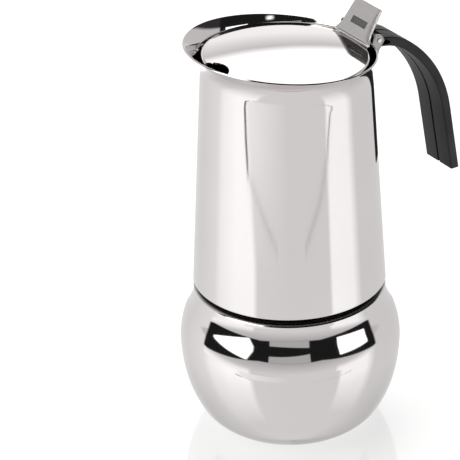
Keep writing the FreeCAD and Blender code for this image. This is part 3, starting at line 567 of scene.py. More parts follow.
def makeValve(v):
    high, bore, edge, hole = v["height"], v["bore"], v["edge"], v["hole"]
    hexIn, hexOut = v["hexIn"], v["hexOut"]

    def turned(name, corners, steps=64):
        return spinPiece(name, corners, steps=steps, valveHeight=high)

    bush, bushOut = v["boss"], v["bossOut"]
    boss = turned("valveBoss", [
        (bore, v["bossIn"]), (bush, v["bossIn"]), (bush, bushOut - edge), (bush - edge, bushOut, edge),
        (bore, bushOut),
    ])
    finishPiece(boss, "valve_boss", "boiler", "plain_steel")

    low, top = bushOut + v["washerPlay"], hexIn - v["washerPlay"]
    inset, drop = v["washerEdge"]
    washer = turned("valveWasher", [
        (bore, low), (bush - inset, low), (bush, bushOut + drop), (bush, hexIn - drop), (bush - inset, top),
        (bore, top),
    ])
    finishPiece(washer, "valve_washer", "boiler", "fibre_seal")

    body = roundBar("valveBody", v["hex"], (0, hexIn, high), (0, hexOut, high), vertices=6)
    (faceIn, dropIn), (faceOut, dropOut) = v["faceIn"], v["faceOut"]
    chamfer = turned("hexChamfer", [
        (0, hexIn), (faceIn, hexIn), (v["chamfer"], hexIn + dropIn), (v["chamfer"], hexOut - dropOut),
        (faceOut, hexOut), (0, hexOut),
    ])
    cutAway(body, chamfer, "INTERSECT")
    inner, grip = v["inner"], hexIn + v["spigotGrip"]
    spigot = turned("valveSpigot", [
        (hole, inner), (v["spigot"] - edge, inner), (v["spigot"], inner + edge), (v["spigot"], grip),
        (v["chamber"], grip), (v["chamber"], v["seat"]), (hole, v["seat"]),
    ])
    start, end = v["drill"]
    cutAway(body, roundBar("chamberBore", v["chamber"], (0, start, high), (0, end, high)))
    cutAway(body, spigot, "UNION")
    finishPiece(body, "valve_body", "boiler", "brass")

    rim, crown, curl = v["cap"], hexOut + v["capHeight"], v["capRound"]
    cap = turned("valveCap", [
        (hole, hexOut), (rim, hexOut), (rim, crown - curl), (rim - curl, crown, curl), (hole, crown),
    ])
    finishPiece(cap, "valve_cap", "boiler", "brass")

    disc, chip, back, stem = v["plunger"], v["plungerEdge"], v["plungerBack"], v["stem"]
    tip, tipRise = v["tip"]
    plunger = turned("valvePlunger", [
        (0, v["seat"]), (disc - chip, v["seat"]), (disc, v["seat"] + chip), (disc, back), (stem, back),
        (stem, v["stemEnd"] - tipRise), (tip, v["stemEnd"], tip), (0, v["stemEnd"]),
    ], steps=48)
    finishPiece(plunger, "valve_plunger", "relief_plunger", "brass")


spring = {
    "radius": 2.25, "wire": 0.35, "pitch": 1.9, "start": 56.65, "end": 65.75, "held": 66.1, "travel": 2.0,
}


def makeSpring(s, high):
    deselectAll()
    bpy.ops.mesh.primitive_circle_add(
        vertices=12, radius=s["wire"] * mm, location=(0, 0, 0), rotation=(0, math.pi / 2, 0))
    coil = settle("valveSpring")
    shiftMesh(coil, (0, s["start"] * mm, s["radius"] * mm))
    length = s["end"] - s["start"]
    turns = length / s["pitch"]
    modify(coil, "SCREW", axis="Y", angle=math.tau * turns, screw_offset=length * mm, iterations=1,
           steps=150, render_steps=150, use_merge_vertices=False)
    openEdit(coil)
    selectAll()
    bpy.ops.mesh.fill_holes(sides=16)
    selectAll()
    bpy.ops.transform.translate(value=(0, 0, high * mm))
    cleanMesh(coil)
    finishPiece(coil, "valve_spring", "boiler", "plain_steel", angle=50)
    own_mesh(coil)


funnel = {
    "radius": 43.8, "sheet": 0.8, "flange": 46.0, "flangeEdge": 0.3, "mouthRound": 0.8, "top": 95.0,
    "floor": 73.0, "throat": 66.0, "throatRadius": 5.54, "stem": 5.5, "foot": 7.0,
}


def makeFunnel(f):
    outer, sheet, flange, edge, curl = f["radius"], f["sheet"], f["flange"], f["flangeEdge"], f["mouthRound"]
    inner, top, throatTop = outer - sheet, f["top"] + sheet, f["throat"] + sheet
    basket = spinPiece("funnelBasket", [
        (flange, f["top"]), (flange, top - edge), (flange - edge, top, edge), (inner + curl, top),
        (inner, top - curl, curl), (inner, f["floor"]), (f["throatRadius"], throatTop),
        (f["throatRadius"], f["throat"]), (outer, f["floor"] - sheet), (outer, f["top"]),
    ], steps=128)
    finishPiece(basket, "funnel_basket", "funnel", "plain_steel")

    pipe, foot = f["stem"], f["foot"]
    stem = spinPiece("funnelStem", [
        (pipe - sheet, foot), (pipe, foot), (pipe, throatTop), (pipe - sheet, throatTop),
    ], steps=64)
    softEdges(stem, width=0.2)
    finishPiece(stem, "funnel_stem", "funnel", "plain_steel")


seal = {"inner": 37.2, "outer": 46.1, "low": 95.8, "high": 98.8, "lip": 0.35}


def makeSeal(s):
    inner, outer, low, high, lip = (s[k] for k in ("inner", "outer", "low", "high", "lip"))
    ring = spinPiece("sealRing", [
        (inner, low + lip), (inner + lip, low, lip), (outer - lip, low), (outer, low + lip, lip),
        (outer, high - lip), (outer - lip, high, lip), (inner + lip, high), (inner, high - lip, lip),
    ], steps=128, turn=15)
    finishPiece(ring, "gasket", "seal_set", "silicone")


jug = {
    "foot": 50.0, "footHeight": 83.4, "taper": 0.06, "levels": (84.4, 116.0, 148.0, 180.0), "wall": 0.9,
    "rim": 48.06, "rimOffset": 3.57, "rimHeight": 212.1, "tilt": 6.12, "crest": 0.16,
    "flareDepth": 14.5, "flarePower": 2.2, "lowShares": (1.3, 1.15, 1.05), "flareRings": 24, "steps": 192,
}


def jugRadius(height):
    return jug["foot"] - jug["taper"] * (height - jug["footHeight"])


def mouthRing(share):  # radius and centre of the slanted ring at this share of the flare's depth
    tilt = math.radians(jug["tilt"])
    slope = math.tan(tilt)
    level = jug["rimHeight"] - slope * jug["rimOffset"]
    depth = share * jug["flareDepth"]
    plain, rimPlain = jugRadius(level - depth), jugRadius(level)
    lean = jug["taper"] * slope
    flare = max(1 - share, 0) ** jug["flarePower"]
    radius = plain + flare * (jug["rim"] - rimPlain)
    offset = flare * (jug["rimOffset"] + lean * rimPlain) - lean * plain
    radius *= (1 + 1 / math.cos(tilt)) / 2  # a slanted cut through the cone is a little larger
    return radius, Vector((-offset, 0, level - depth + slope * offset))


def makeJug(j):
    deselectAll()
    bpy.ops.mesh.primitive_circle_add(vertices=j["steps"], radius=j["foot"] * mm, location=(0, 0, 0))
    shell = nameNew("jugShell")
    bpy.ops.object.mode_set(mode="EDIT")
    selectAll("EDGE")
    centre, radius = Vector((0, 0, j["footHeight"])), j["foot"]
    bpy.ops.transform.translate(value=centre * mm)
    rings = [(jugRadius(level), Vector((0, 0, level))) for level in j["levels"]]
    shares = list(j["lowShares"]) + [1 - k / j["flareRings"] for k in range(1, j["flareRings"] + 1)]
    rings += [mouthRing(share) for share in shares]
    for number, (nextRadius, nextCentre) in enumerate(rings):
        extrude((nextCentre - centre) * mm)
        scale = nextRadius / radius
        bpy.ops.transform.resize(value=(scale, scale, scale), center_override=nextCentre * mm)
        if number == len(j["levels"]):  # the first slanted ring
            lean = -math.radians(j["tilt"])
            bpy.ops.transform.rotate(value=lean, orient_axis="Y", center_override=nextCentre * mm)
        centre, radius = nextCentre, nextRadius
    cleanMesh(shell)
    modify(shell, "SOLIDIFY", thickness=j["wall"] * mm, offset=-1, use_even_offset=True)
    softEdges(shell, width=j["crest"], segments=3, limit=60)
    finishPiece(shell, "jug", "jug", "polished_steel", angle=50)


inside = {
    "gap": 0.94, "wall": 0.9, "collar": 46.35, "collarFoot": 84.2, "collarEdge": 0.5, "seat": 99.4,
    "play": 0.03, "floorFlat": 40.0, "floorRise": 111.5, "floorBore": 8.14, "floorBend": 0.5, "landing": 12.0,
    "column": 8.1, "columnFoot": 1.5, "flange": 11.0, "flare": 3.0, "flareRound": -4.5, "tip": 6.4,
    "top": 184.0, "window": (173.5, 181.5), "windowHalf": 2.5, "windowReach": 12.0,
    "capOver": 0.6, "capSkirt": 1.2, "capHeight": 3.6, "capArc": 11.41,
}


def makeJugInside(i):
    wall, seat, rise, landing, bore = (i[k] for k in ("wall", "seat", "floorRise", "landing", "floorBore"))

    def fitRadius(height):  # just inside the jug's wall
        return jugRadius(height) - i["gap"]

    ring, foot, edge = i["collar"], i["collarFoot"], i["collarEdge"]
    collar = spinPiece("jugCollar", [
        (ring, foot + edge), (ring + edge, foot), (fitRadius(foot), foot), (fitRadius(seat), seat),
        (ring, seat),
    ], steps=128)
    finishPiece(collar, "jug_collar", "jug", "plain_steel")

    floor = spinPiece("jugFloor", [
        (i["floorFlat"], seat + i["play"]), (fitRadius(seat), seat + i["play"]),
        (fitRadius(seat + wall), seat + wall), (i["floorFlat"], seat + wall),
        (landing, rise + wall), (bore, rise + wall), (bore, rise), (landing, rise),
    ], steps=128)
    softEdges(floor, width=i["floorBend"], limit=15)
    finishPiece(floor, "jug_floor", "jug", "plain_steel")

    pipe, tip, top = i["column"], i["tip"], i["top"]
    low, neck = rise - i["columnFoot"], rise + wall + i["flare"]
    column = spinPiece("riserColumn", [
        (pipe - wall, low), (pipe, low), (pipe, rise + wall), (i["flange"], rise + wall),
        (i["flange"], rise + 2 * wall), (pipe, neck, i["flareRound"]),
        (tip, top), (tip - wall, top), (pipe - wall, neck),
    ], steps=64)
    reach, half = i["windowReach"], i["windowHalf"]
    sill, head = i["window"]
    cutAway(column, blockBar("outletWindows", (-reach, -half, sill), (reach, half, head)))
    softEdges(column, width=0.15, limit=50)
    finishPiece(column, "column", "jug", "plain_steel")

    rim = tip + i["capOver"]
    cap = spinPiece("columnCap", [
        (0, top), (rim, top), (rim, top + i["capSkirt"]), (0, top + i["capHeight"], i["capArc"]),
    ], steps=64)
    softEdges(cap, width=0.2, limit=50)
    finishPiece(cap, "column_cap", "jug", "plain_steel")


lid = {
    "radius": 42.2, "offset": 0.3, "sink": 4.0, "tilt": 3.0, "dome": 3.0, "gauge": 0.9,
    "brow": 1.0, "browHeight": 0.3, "lip": 1.0, "skirt": 1.5,
    "notch": 10.8, "notchReach": 45.9, "notchCut": 10.0,
}


def domeArc(radius, rise):
    return (radius ** 2 + rise ** 2) / (2 * rise)


def makeLid(d):
    edge, gauge, crest = d["radius"], d["gauge"], d["browHeight"]
    brow = edge - d["brow"]
    inner, under, rise = edge - gauge, brow - gauge, d["dome"] - crest
    plate = spinPiece("lidPlate", [
        (0, d["dome"] - gauge),
        (under, crest - gauge, -domeArc(under, rise)),
        (inner, -d["lip"]),
        (inner, -d["skirt"]),
        (edge, -d["skirt"]),
        (edge, crest - d["brow"]),
        (brow, crest, d["brow"]),
        (0, d["dome"], domeArc(brow, rise)),
    ], steps=192, turn=0.3)
    reach, cut = d["notchReach"], d["notchCut"]
    cutAway(plate, roundBar("notchCutter", d["notch"], (-reach, 0, -cut), (-reach, 0, cut), vertices=128))
    slope = math.tan(math.radians(jug["tilt"]))
    height = jug["rimHeight"] - slope * jug["rimOffset"] - d["sink"] + slope * d["offset"]
    openEdit(plate)
    selectAll()
    bpy.ops.mesh.dissolve_degenerate(threshold=0.00001)
    selectAll()
    bpy.ops.transform.rotate(value=-math.radians(d["tilt"]), orient_axis="Y", center_override=(0, 0, 0))
    bpy.ops.transform.translate(value=Vector((-d["offset"], 0, height)) * mm)
    finishPiece(plate, "lid", "lid", "polished_steel", angle=25)


hinge = {
    "pin": (48.2, 207.0), "radius": 1.2, "proud": 0.6, "end": 0.3, "hole": 1.24, "eyeHole": 1.25, "drill": 20,
}


def alongPin(name, radius, reach=hinge["drill"], vertices=48):  # a bar on the axis of the hinge
    x, z = hinge["pin"]
    return roundBar(name, radius, (x, -reach, z), (x, reach, z), vertices)


lever = {
    "flange": (38.8, 206.28), "root": (40.2, 206.03), "tip": (51.2, 221.95), "sheet": 1.0, "tone": 0.58,
    "bend": 2.2, "bendRun": 0.9, "rootHalf": 15.4, "waistX": 45.2, "waistHalf": 11.9, "tipHalf": 10.85,
    "tipCorner": 0.7, "lowRows": (41.4, 41.9, 42.5, 43.1, 43.6), "highRows": (48.5, 50.9),
    "window": (44.1, 46.2, 6.3),  # from, to, half width
    "windowDepth": 0.4, "windowEdge": 0.3, "windowSpare": 0.2,
    "windowFloor": (0.3, 0.8),  # heights above the underside that count as the recess
    "eye": 2.3, "ears": (5.0, 6.0), "earFoot": (5.4, 3.6), "earSink": 0.4,
}


def leverHalf(x):  # half width of the tab, flared in a hollow curve towards the lid
    if x <= lever["root"][0]:
        return lever["rootHalf"]
    if x < lever["waistX"]:
        share = (lever["waistX"] - x) / (lever["waistX"] - lever["root"][0])
        return lever["waistHalf"] + (lever["rootHalf"] - lever["waistHalf"]) * share ** 2
    share = (x - lever["waistX"]) / (lever["tip"][0] - lever["waistX"])
    return lever["waistHalf"] + share * (lever["tipHalf"] - lever["waistHalf"])


def makeLever(v):
    root, tip, sheet = Vector(v["root"]), Vector(v["tip"]), v["sheet"]
    up = (tip - root).normalized()
    inward = (Vector(v["flange"]) - root).normalized()
    low, high, side = v["window"]

    def alongTab(x):  # distance from the root along the slanted tab
        return (x - root.x) / up.x

    def underside(x):
        return root.y + (x - root.x) * up.y / up.x

    def inWindow(spot):  # on the upper face, which lies back by the sheet's thickness
        within = abs(spot.y) < side and low < spot.x + up.y * sheet < high
        return within and spot.z > underside(spot.x) + sheet

    run = v["bendRun"]
    path = outline([v["flange"], tuple(root + inward * run), tuple(root + up * run) + (v["bend"],)], turn=7)
    for x in v["lowRows"] + (low, v["waistX"], high) + v["highRows"] + (tip.x,):
        path.append(root + up * alongTab(x))
    start, half = path[0], leverHalf(path[0].x)
    tab = drawLine("lidLever", [Vector((start.x, y, start.y)) * mm for y in (-half, half)])
    selectAll("EDGE")
    for before, after in zip(path, path[1:]):
        step = Vector((after.x - before.x, 0, after.y - before.y)) * mm
        extrude(step)
        half = leverHalf(after.x) - (v["tipCorner"] if after is path[-1] else 0)
        bpy.ops.transform.resize(value=(1, half / leverHalf(before.x), 1), center_override=(0, 0, 0))
    for y in (-side, side):
        selectAll()
        bpy.ops.mesh.bisect(plane_co=(0, y * mm, 0), plane_no=(0, 1, 0))
    cleanMesh(tab)
    openEdit(tab)
    if sum(face.normal.z for face in bmesh.from_edit_mesh(tab.data).faces) < 0:
        selectAll()
        bpy.ops.mesh.flip_normals()
    modify(tab, "SOLIDIFY", thickness=sheet * mm, offset=1, use_even_offset=True)
    softEdges(tab, width=0.18, limit=50)
    openEdit(tab)
    pick(tab, inWindow)
    bpy.ops.mesh.inset(thickness=v["windowEdge"] * mm, depth=-v["windowDepth"] * mm)

    pinX, pinZ = hinge["pin"]
    eye, (near, far) = v["eye"], v["ears"]
    feet = [(pinX - foot, underside(pinX - foot) + v["earSink"]) for foot in reversed(v["earFoot"])]
    shape = [(pinX - eye, pinZ), (pinX, pinZ - eye, eye), (pinX + eye, pinZ, eye)] + feet
    ears = []
    for name, start, end in (("earLeft", near, far), ("earRight", -far, -near)):
        ear = platePiece(name, shape, start, end)
        cutAway(ear, alongPin("earHole", hinge["eyeHole"]))
        softEdges(ear, width=0.12, limit=50)
        ears.append(ear)
    joinPieces(tab, ears)

    floorLow, floorHigh = v["windowFloor"]
    finishes["leverSteel"] = satinSteel("leverSteel", dict(satinLook, tone=v["tone"]), recess={
        "root": root * mm, "up": up, "half": side * mm, "low": floorLow * mm, "high": floorHigh * mm,
        "start": (alongTab(low) - v["windowSpare"]) * mm, "end": (alongTab(high) + v["windowSpare"]) * mm,
    })
    finishPiece(tab, "lid_lever", "lid", "satin_steel", "leverSteel", angle=40)


handle = {
    "tip": (101.4, 119.8), "straight": 37.9, "spare": 6.0, "lean": 9.65, "bigArc": 69.0, "bigEnd": 53.6,
    "smallArc": 32.6, "rootEnd": 90.0, "rootX": 45.8, "rootRun": 3.9,
    "half": 11.2, "thick": 5.0, "edge": 0.8, "groove": 0.6, "grooveDepth": 1.2, "grooveEdge": 0.2,
    "lugIn": 7.2, "lugEdge": 0.4, "lugFoot": 202.9,
    "lugBack": (8.0, -2.4), "lugTop": (1.0, 1.9), "lugNose": (1.2, 0.7),
    "slot": ((44.0, 204.1), (52.2, 204.1), (57.2, 213.0), (44.0, 213.0)),
    "rebate": ((44.0, -7.1, 194.0), (58.6, 7.1, 202.4)),
}


def strapSection(h):  # points across the strap: width along Y, depth inwards from the outer face
    half, edge, groove, deep, chip = (h[k] for k in ("half", "edge", "groove", "grooveDepth", "grooveEdge"))
    angles = [math.radians(k) for k in (0, 22.5, 45, 67.5, 90)]
    corner = [(edge * (1 - math.cos(a)), edge * (1 - math.sin(a))) for a in angles]
    hollow = [(groove + chip, 0), (groove, chip), (groove, deep)]
    outer = [(-half + u, v) for u, v in corner] + [(-u, v) for u, v in hollow]
    outer += [(-u, v) for u, v in reversed(outer)]
    return outer + [(u, h["thick"] - v) for u, v in reversed(outer)]


def makeHandle(h):
    lean, bigEnd, rootEnd = (math.radians(h[k]) for k in ("lean", "bigEnd", "rootEnd"))
    tip = Vector((h["tip"][0], 0, h["tip"][1]))
    out = Vector((math.cos(lean), 0, math.sin(lean)))
    down = Vector((math.sin(lean), 0, -math.cos(lean)))
    knee = tip - down * h["straight"]
    bigCentre = knee - out * h["bigArc"]
    smallCentre = bigCentre + Vector((math.cos(bigEnd), 0, math.sin(bigEnd))) * (h["bigArc"] - h["smallArc"])
    spots = [knee - out * depth + Vector((0, across, 0)) for across, depth in strapSection(h)]
    strap = drawLine("handleStrap", [spot * mm for spot in spots], closed=True)
    selectAll("EDGE")
    length = h["straight"] + h["spare"]
    extrude(down * length * mm)
    pick(strap, lambda spot: abs((spot - knee).dot(down)) < 0.01, "EDGE")
    bpy.ops.mesh.spin(steps=36, angle=bigEnd - lean, center=bigCentre * mm, axis=(0, 1, 0))
    bpy.ops.mesh.spin(steps=20, angle=rootEnd - bigEnd, center=smallCentre * mm, axis=(0, 1, 0))
    extrude((-h["rootRun"] * mm, 0, 0))
    bpy.ops.transform.resize(value=(0, 1, 1), center_override=(h["rootX"] * mm, 0, 0))
    bpy.ops.mesh.edge_face_add()
    selectAll()
    bpy.ops.mesh.bisect(plane_co=tip * mm, plane_no=(0, 0, 1), clear_inner=True, use_fill=True)
    cleanMesh(strap)

    (pinX, pinZ), rootX, foot = hinge["pin"], h["rootX"], h["lugFoot"]
    (backX, backZ), (topX, topZ), (noseX, noseZ) = h["lugBack"], h["lugTop"], h["lugNose"]
    shape = [
        (rootX, foot), (pinX + backX, foot), (pinX + backX, pinZ + backZ), (pinX + topX, pinZ + topZ),
        (rootX + noseX, pinZ + topZ), (rootX, pinZ + noseZ),
    ]
    for name, start, end in (("lugLeft", h["lugIn"], h["half"]), ("lugRight", -h["half"], -h["lugIn"])):
        lug = platePiece(name, shape, start, end)
        softEdges(lug, width=h["lugEdge"])
        cutAway(strap, lug, "UNION")
    cutAway(strap, platePiece("slotCutter", h["slot"], -h["lugIn"], h["lugIn"]))
    cutAway(strap, blockBar("rebateCutter", *h["rebate"]))
    cutAway(strap, alongPin("pinCutter", hinge["hole"]))
    finishes["black_handle"] = blackMoulding("blackMoulding", blackLook, h["half"] * mm)
    finishPiece(strap, "handle", "jug", "black_handle", angle=35)


bracket = {
    "low": 187.5, "high": 193.9, "sheet": 1.0, "sink": 0.07, "arm": (11.25, 12.25), "armFoot": (42.6, 44.8),
    "armHead": ((0, -5.6), (3.4, -0.6), (1.6, 2.6), (-3.2, 2.6, 4.6), (-5.0, -3.5)),  # from the pin
    "web": 44.0, "webLap": 2.0, "tongueTop": 202.4, "tongueSheet": 1.1, "tongueHalf": 7.0, "tongueEnd": 58.5,
}


def makeBracket(b):
    pinX, pinZ = hinge["pin"]
    low, high, sheet, sink = b["low"], b["high"], b["sheet"], b["sink"]
    front, back = b["armFoot"]
    head = [(pinX + x, pinZ + z, *arc) for x, z, *arc in b["armHead"]]
    shape = [(front, low), (back, low)] + head + [(front, high)]
    inner, outer = b["arm"]
    parts = []
    for name, start, end in (("armLeft", inner, outer), ("armRight", -outer, -inner)):
        arm = platePiece(name, shape, start, end)
        softEdges(arm, width=0.15)
        cutAway(arm, alongPin("armHole", hinge["hole"]))
        parts.append(arm)
    reach = math.asin(outer / jugRadius(low))
    flat = [
        (jugRadius(low) - sink, low), (jugRadius(low) + sheet, low),
        (jugRadius(high) + sheet, high), (jugRadius(high) - sink, high),
    ]
    spots = [Vector((r * math.cos(reach), -r * math.sin(reach), z)) * mm for r, z in flat]
    saddle = drawLine("hingeBracket", spots, closed=True)
    bpy.ops.mesh.edge_face_add()
    bpy.ops.mesh.spin(steps=20, angle=2 * reach, center=(0, 0, 0), axis=(0, 0, -1))
    cleanMesh(saddle)
    softEdges(saddle, width=0.2, limit=50)
    web, foot, end, top = b["web"], high - b["webLap"], b["tongueEnd"], b["tongueTop"]
    under = top - b["tongueSheet"]
    tongue = platePiece("bracketTongue", [
        (web, foot), (web + sheet, foot), (web + sheet, under), (end, under), (end, top), (web, top),
    ], -b["tongueHalf"], b["tongueHalf"])
    softEdges(tongue, width=0.3, limit=50)
    joinPieces(saddle, parts + [tongue])
    # the bracket takes the darkened satin steel, a painted reflection
    finishPiece(saddle, "hinge_bracket", "jug", "satin_steel", "hingeShadedSteel", angle=40)

    pin = alongPin("hingePin", hinge["radius"], reach=outer + hinge["proud"], vertices=40)
    softEdges(pin, width=hinge["end"], segments=3, limit=50)
    finishPiece(pin, "hinge_pin", "jug", "plain_steel")


screw = {
    "x": 55.5, "head": 2.8, "headFlat": 1.6, "headHeight": 1.8, "headArc": 3.0, "shank": 1.5, "grip": 2.8,
    "slotHalf": 0.3, "slotDepth": 0.8, "slotSpare": (3.0, 0.7),
}


def makeScrew(s):
    seat, end = bracket["tongueTop"] - bracket["tongueSheet"], bracket["tongueTop"] + s["grip"]
    x, low, shank, half = s["x"], seat - s["headHeight"], s["shank"], s["slotHalf"]
    piece = spinPiece("handleScrew", [
        (0, low), (s["headFlat"], low), (s["head"], seat, s["headArc"]), (shank, seat), (shank, end),
        (0, end),
    ], steps=40)
    shiftMesh(piece, (x * mm, 0, 0))
    reach, below = s["slotSpare"]
    top = low + s["slotDepth"]
    cutAway(piece, blockBar("slotAcross", (x - reach, -half, low - below), (x + reach, half, top)))
    finishPiece(piece, "handle_screw", "jug", "plain_steel")


makeBoiler(boiler)
makeBaseDisc(baseDisc)
makeValve(valve)
makeSpring(spring, valve["height"])
makeFunnel(funnel)
makeSeal(seal)
makeJug(jug)
makeJugInside(inside)
makeLid(lid)
makeLever(lever)
makeHandle(handle)
makeBracket(bracket)
makeScrew(screw)
for name in ("funnel_sieve", "filter_plate"):
    nodes[name].data.materials.clear()
    nodes[name].data.materials.append(finishes["plateSteel"])
print("pot modelled")

# what the steel mirrors, in degrees around from the camera's side and above the horizon;
# an edge is a place and its softness, and the other pairs are stops of place and tone
mirrored = {
    "cameraSide": (-0.5445, -0.8389),  # level direction towards the camera
    "backdrop": 1.0, "wall": 0.72, "dark": 0.015, "softbox": 2.4, "horizon": (0, 1),
    "table": 0.90, "tableFade": ((60, 1.0), (150, 0.91)),
    "strip": 0.44, "stripLeft": ((-98, 4), (-41, 2)), "stripRight": ((50, 2), (87, 6)),
    "stripEdge": ((-23, -40), (-19.3, -53)), "stripSoft": 3, "stripLow": ((46, 2), (87, 6)),
    "stripClimb": ((-130, 0.0), (-98, 0.16), (-88, 0.40), (-66, 0.56)),
    "stripGlow": ((-52, 0.33), (0, 0.0)), "glowFade": ((-23, 0.2), (-20, 1.0)),
    "leftFade": ((-66, 0.0), (-20, 1.0)), "rightFade": ((-56, 0.0), (-24, 1.0)),
    "shade": 0.22, "shadeFar": (112, 34), "shadeTop": (-40, 8),
    "rear": 1.5, "rearFar": (160, 4), "rearHeight": ((-34, 2), (-20, 2)),
    "doors": (  # dark doorways: sides, foot, tone
        (((90, 2), (143, 2)), (21, 2), 0.04),
        (((-164, 4), (-122, 4)), (30, 5), 0.05),
    ),
    "back": (166, 2), "backSlant": 31, "backTones": ((13, 1.22), (20, 0.78), (20.3, 0.78), (23.5, 1.7)),
    "ceiling": (56, 6), "ceilingEnd": (110, 15), "front": ((-97, 1.2), (95, 1.2)), "frontFoot": (-8.5, 0.8),
    "panelFoot": (-14, 0.6), "panelTop": ((32, 4.5), (92, -8.5)), "panelEdge": 0.6,
    "panelFade": ((-10, 1.0), (3, 0.66)), "panelStrip": (-9, 3),
    "leftBox": (-88, 0.8), "leftEnd": (-46, 1.5), "leftLean": ((0, 0), (14, 6)), "leftTop": (62, 4),
    "leftFoot": (4.3, 0.8), "leftTilt": (-66, 0.083), "boxEdge": 0.8,
    "rightBox": ((51, 0.8), (85, 0.8)), "rightFoot": ((51, 4.5), (85, 0.5)), "rightTop": (20, 0.8),
    "card": 0.56, "cardSides": ((-22, 0.6), (20, 0.6)), "cardFoot": (4.5, 0.5),
    "cardTop": ((-22, 12.3), (20, 15.3)), "cardEdge": 0.5,
    "glintSides": ((15, 3), (23, 3)), "glintHeight": ((24, 3), (30, 3)),
    "line": 0.1, "lineHeight": ((-22.2, 0.2), (-19.0, 0.2)),
    "leftLine": ((-22.2, -14), (-20.9, -50), (-19.2, -56)), "leftWidth": ((-21.2, 0.9), (-20.6, 1.4)),
    "rightLine": ((-22.2, 20), (-20.9, 51), (-19.4, 61)), "rightWidth": 0.9,
    "leftSoft": 0.5, "rightSoft": 0.6,
}


def makeWorld(m):
    world = bpy.data.worlds.new("studioLight")
    world.use_nodes = True
    paint = Paint(world.node_tree)
    profile = paint.profile
    x, y, z = paint.axes(paint.node("ShaderNodeTexCoord", output="Generated"))
    sideX, sideY = m["cameraSide"]
    right = y * sideX - x * sideY
    around = right.maths("ARCTAN2", right, x * sideX + y * sideY) * math.degrees(1)
    height = z.maths("ARCSINE", z) * math.degrees(1)
    far = abs(around)

    def rising(value, at, soft):
        return paint.span(value, at - soft, at + soft, 0, 1)

    def falling(value, at, soft):
        return 1 - rising(value, at, soft)

    def band(value, start, end):
        return rising(value, *start) * falling(value, *end)

    beyond = rising(around - profile(height, m["stripEdge"]), 0, m["stripSoft"])
    glow = profile(around, m["stripGlow"]) * profile(height, m["glowFade"])
    leftStrip = profile(around, m["stripClimb"]) * (1 - beyond) + glow * beyond
    leftStrip = leftStrip * profile(height, m["leftFade"])
    rightStrip = band(around, *m["stripRight"]) * profile(height, m["rightFade"]) * m["strip"]
    shade = rising(far, *m["shadeFar"]) * falling(height, *m["shadeTop"]) * m["shade"]  # under the belly
    light = (profile(around, m["tableFade"]) * m["table"] + leftStrip + rightStrip) * (1 - shade)

    above, front = rising(height, *m["horizon"]), band(around, *m["front"])
    backTone = profile(height + right * m["backSlant"], m["backTones"])
    strips = band(around, *m["stripLeft"]) + band(around, *m["stripLow"])
    panelTone = profile(height, m["panelFade"]) * m["table"]
    panelTone = panelTone + strips * falling(height, *m["panelStrip"]) * m["strip"]
    panelTop = falling(height - profile(far, m["panelTop"]), 0, m["panelEdge"])
    tiltAt, tilt = m["leftTilt"]
    leftBox = rising(around, *m["leftBox"]) * falling(around - profile(height, m["leftLean"]), *m["leftEnd"])
    leftFoot = rising(height + (around - tiltAt) * tilt, *m["leftFoot"])
    rightFoot = rising(height - profile(around, m["rightFoot"]), 0, m["boxEdge"])
    cardTop = falling(height - profile(around, m["cardTop"]), 0, m["cardEdge"])
    leftLine, rightLine = (abs(around - profile(height, m[k])) for k in ("leftLine", "rightLine"))
    drawn = falling(leftLine, profile(height, m["leftWidth"]), m["leftSoft"])
    drawn = drawn + falling(rightLine, m["rightWidth"], m["rightSoft"])

    layers = [
        (rising(far, *m["rearFar"]) * band(height, *m["rearHeight"]), m["rear"]),  # the table's far edge
        (above, m["wall"]),
    ]
    layers += [(band(around, *sides) * rising(height, *foot), tone) for sides, foot, tone in m["doors"]]
    layers += [
        (above * rising(far, *m["back"]), backTone),
        (rising(height, *m["ceiling"]) * falling(far, *m["ceilingEnd"]), m["dark"]),
        (front * rising(height, *m["frontFoot"]), m["dark"]),
        (front * rising(height, *m["panelFoot"]) * panelTop, panelTone),
        (leftBox * leftFoot * falling(height, *m["leftTop"]), m["softbox"]),
        (band(around, *m["rightBox"]) * rightFoot * falling(height, *m["rightTop"]), m["softbox"]),
        (band(around, *m["cardSides"]) * rising(height, *m["cardFoot"]) * cardTop, m["card"]),
        (band(around, *m["glintSides"]) * band(height, *m["glintHeight"]), m["softbox"]),
        (drawn * band(height, *m["lineHeight"]), m["line"]),
        (paint.node("ShaderNodeLightPath", output="Is Camera Ray"), m["backdrop"]),
    ]
    for mask, tone in layers:  # each covers what lies under it
        light = light * (1 - mask) + mask * tone
    sockets = {"Color": paint.colour(light, light, light), "Strength": 1.0}
    back = paint.node("ShaderNodeBackground", {}, sockets)
    paint.node("ShaderNodeOutputWorld", {}, {"Surface": back})
    bpy.context.scene.world = world


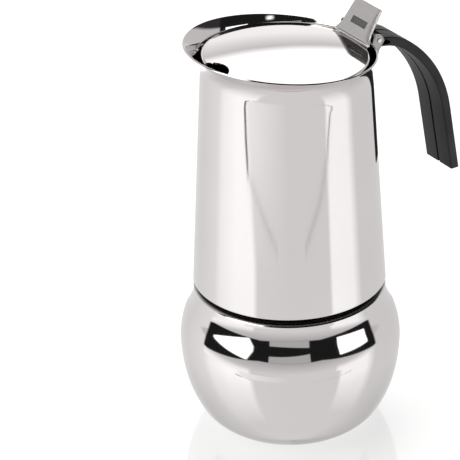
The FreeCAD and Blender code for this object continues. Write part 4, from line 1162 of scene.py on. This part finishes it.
studio = {
    "floorSize": 14, "floorDrop": 0.0001, "floorTones": (0.42, 0.4158), "floorWarmth": 0.985,
    "floorGlow": 0.63, "floorGloss": 0.05,
    "lamp": 16, "lampPlace": (0.5, 0.9, 1.5), "lampSize": 1.4, "lampAim": (0, 0, 0.1),
}


def makeStudio(s):
    deselectAll()
    bpy.ops.mesh.primitive_plane_add(size=s["floorSize"], location=(0, 0, -s["floorDrop"]))
    floor = nameNew("paleFloor")
    material, paint = newPaint("paleFloor")
    clear, hazy = ((tone, tone, tone * s["floorWarmth"], 1) for tone in s["floorTones"])
    surface(paint, {
        "Base Color": paint.ramp(paint.noise(3, 2), [(0.3, clear), (0.7, hazy)]),
        "Roughness": s["floorGloss"],
        "Emission Color": (1, 1, 1, 1),
        "Emission Strength": s["floorGlow"],
    })
    floor.data.materials.append(material)
    floor.visible_glossy = False  # the steel mirrors the laid-out table instead

    bpy.ops.object.light_add(type="AREA", location=s["lampPlace"])
    lamp = bpy.context.object
    lamp.name = "topSoftbox"
    lamp.data.size = s["lampSize"]
    lamp.data.energy = s["lamp"]
    lamp.rotation_euler = (Vector(s["lampAim"]) - lamp.location).to_track_quat("-Z", "Y").to_euler()
    lamp.visible_glossy = False
    print("studio lit")


view = {
    "place": (-588.275, -906.257, 695.519), "heading": 58.6231, "dip": 28.5155, "roll": -1.6267,
    "lens": 185.573, "sensor": 36, "farEnd": 60,
}


def makeCamera(v):
    camera = bpy.data.objects.new("camera", bpy.data.cameras.new("camera"))
    bpy.context.scene.collection.objects.link(camera)
    level = Matrix.Rotation(math.radians(v["heading"] - 90), 4, "Z")
    dipped = level @ Matrix.Rotation(math.radians(90 - v["dip"]), 4, "X")
    turn = dipped @ Matrix.Rotation(math.radians(v["roll"]), 4, "Z")
    camera.matrix_world = Matrix.Translation(Vector(v["place"]) * mm) @ turn
    camera.data.lens = v["lens"]
    camera.data.sensor_width = v["sensor"]
    camera.data.clip_end = v["farEnd"]
    bpy.context.scene.camera = camera
    bpy.context.scene.view_settings.view_transform = "Standard"
    print("camera set")


makeWorld(mirrored)
makeStudio(studio)
makeCamera(view)
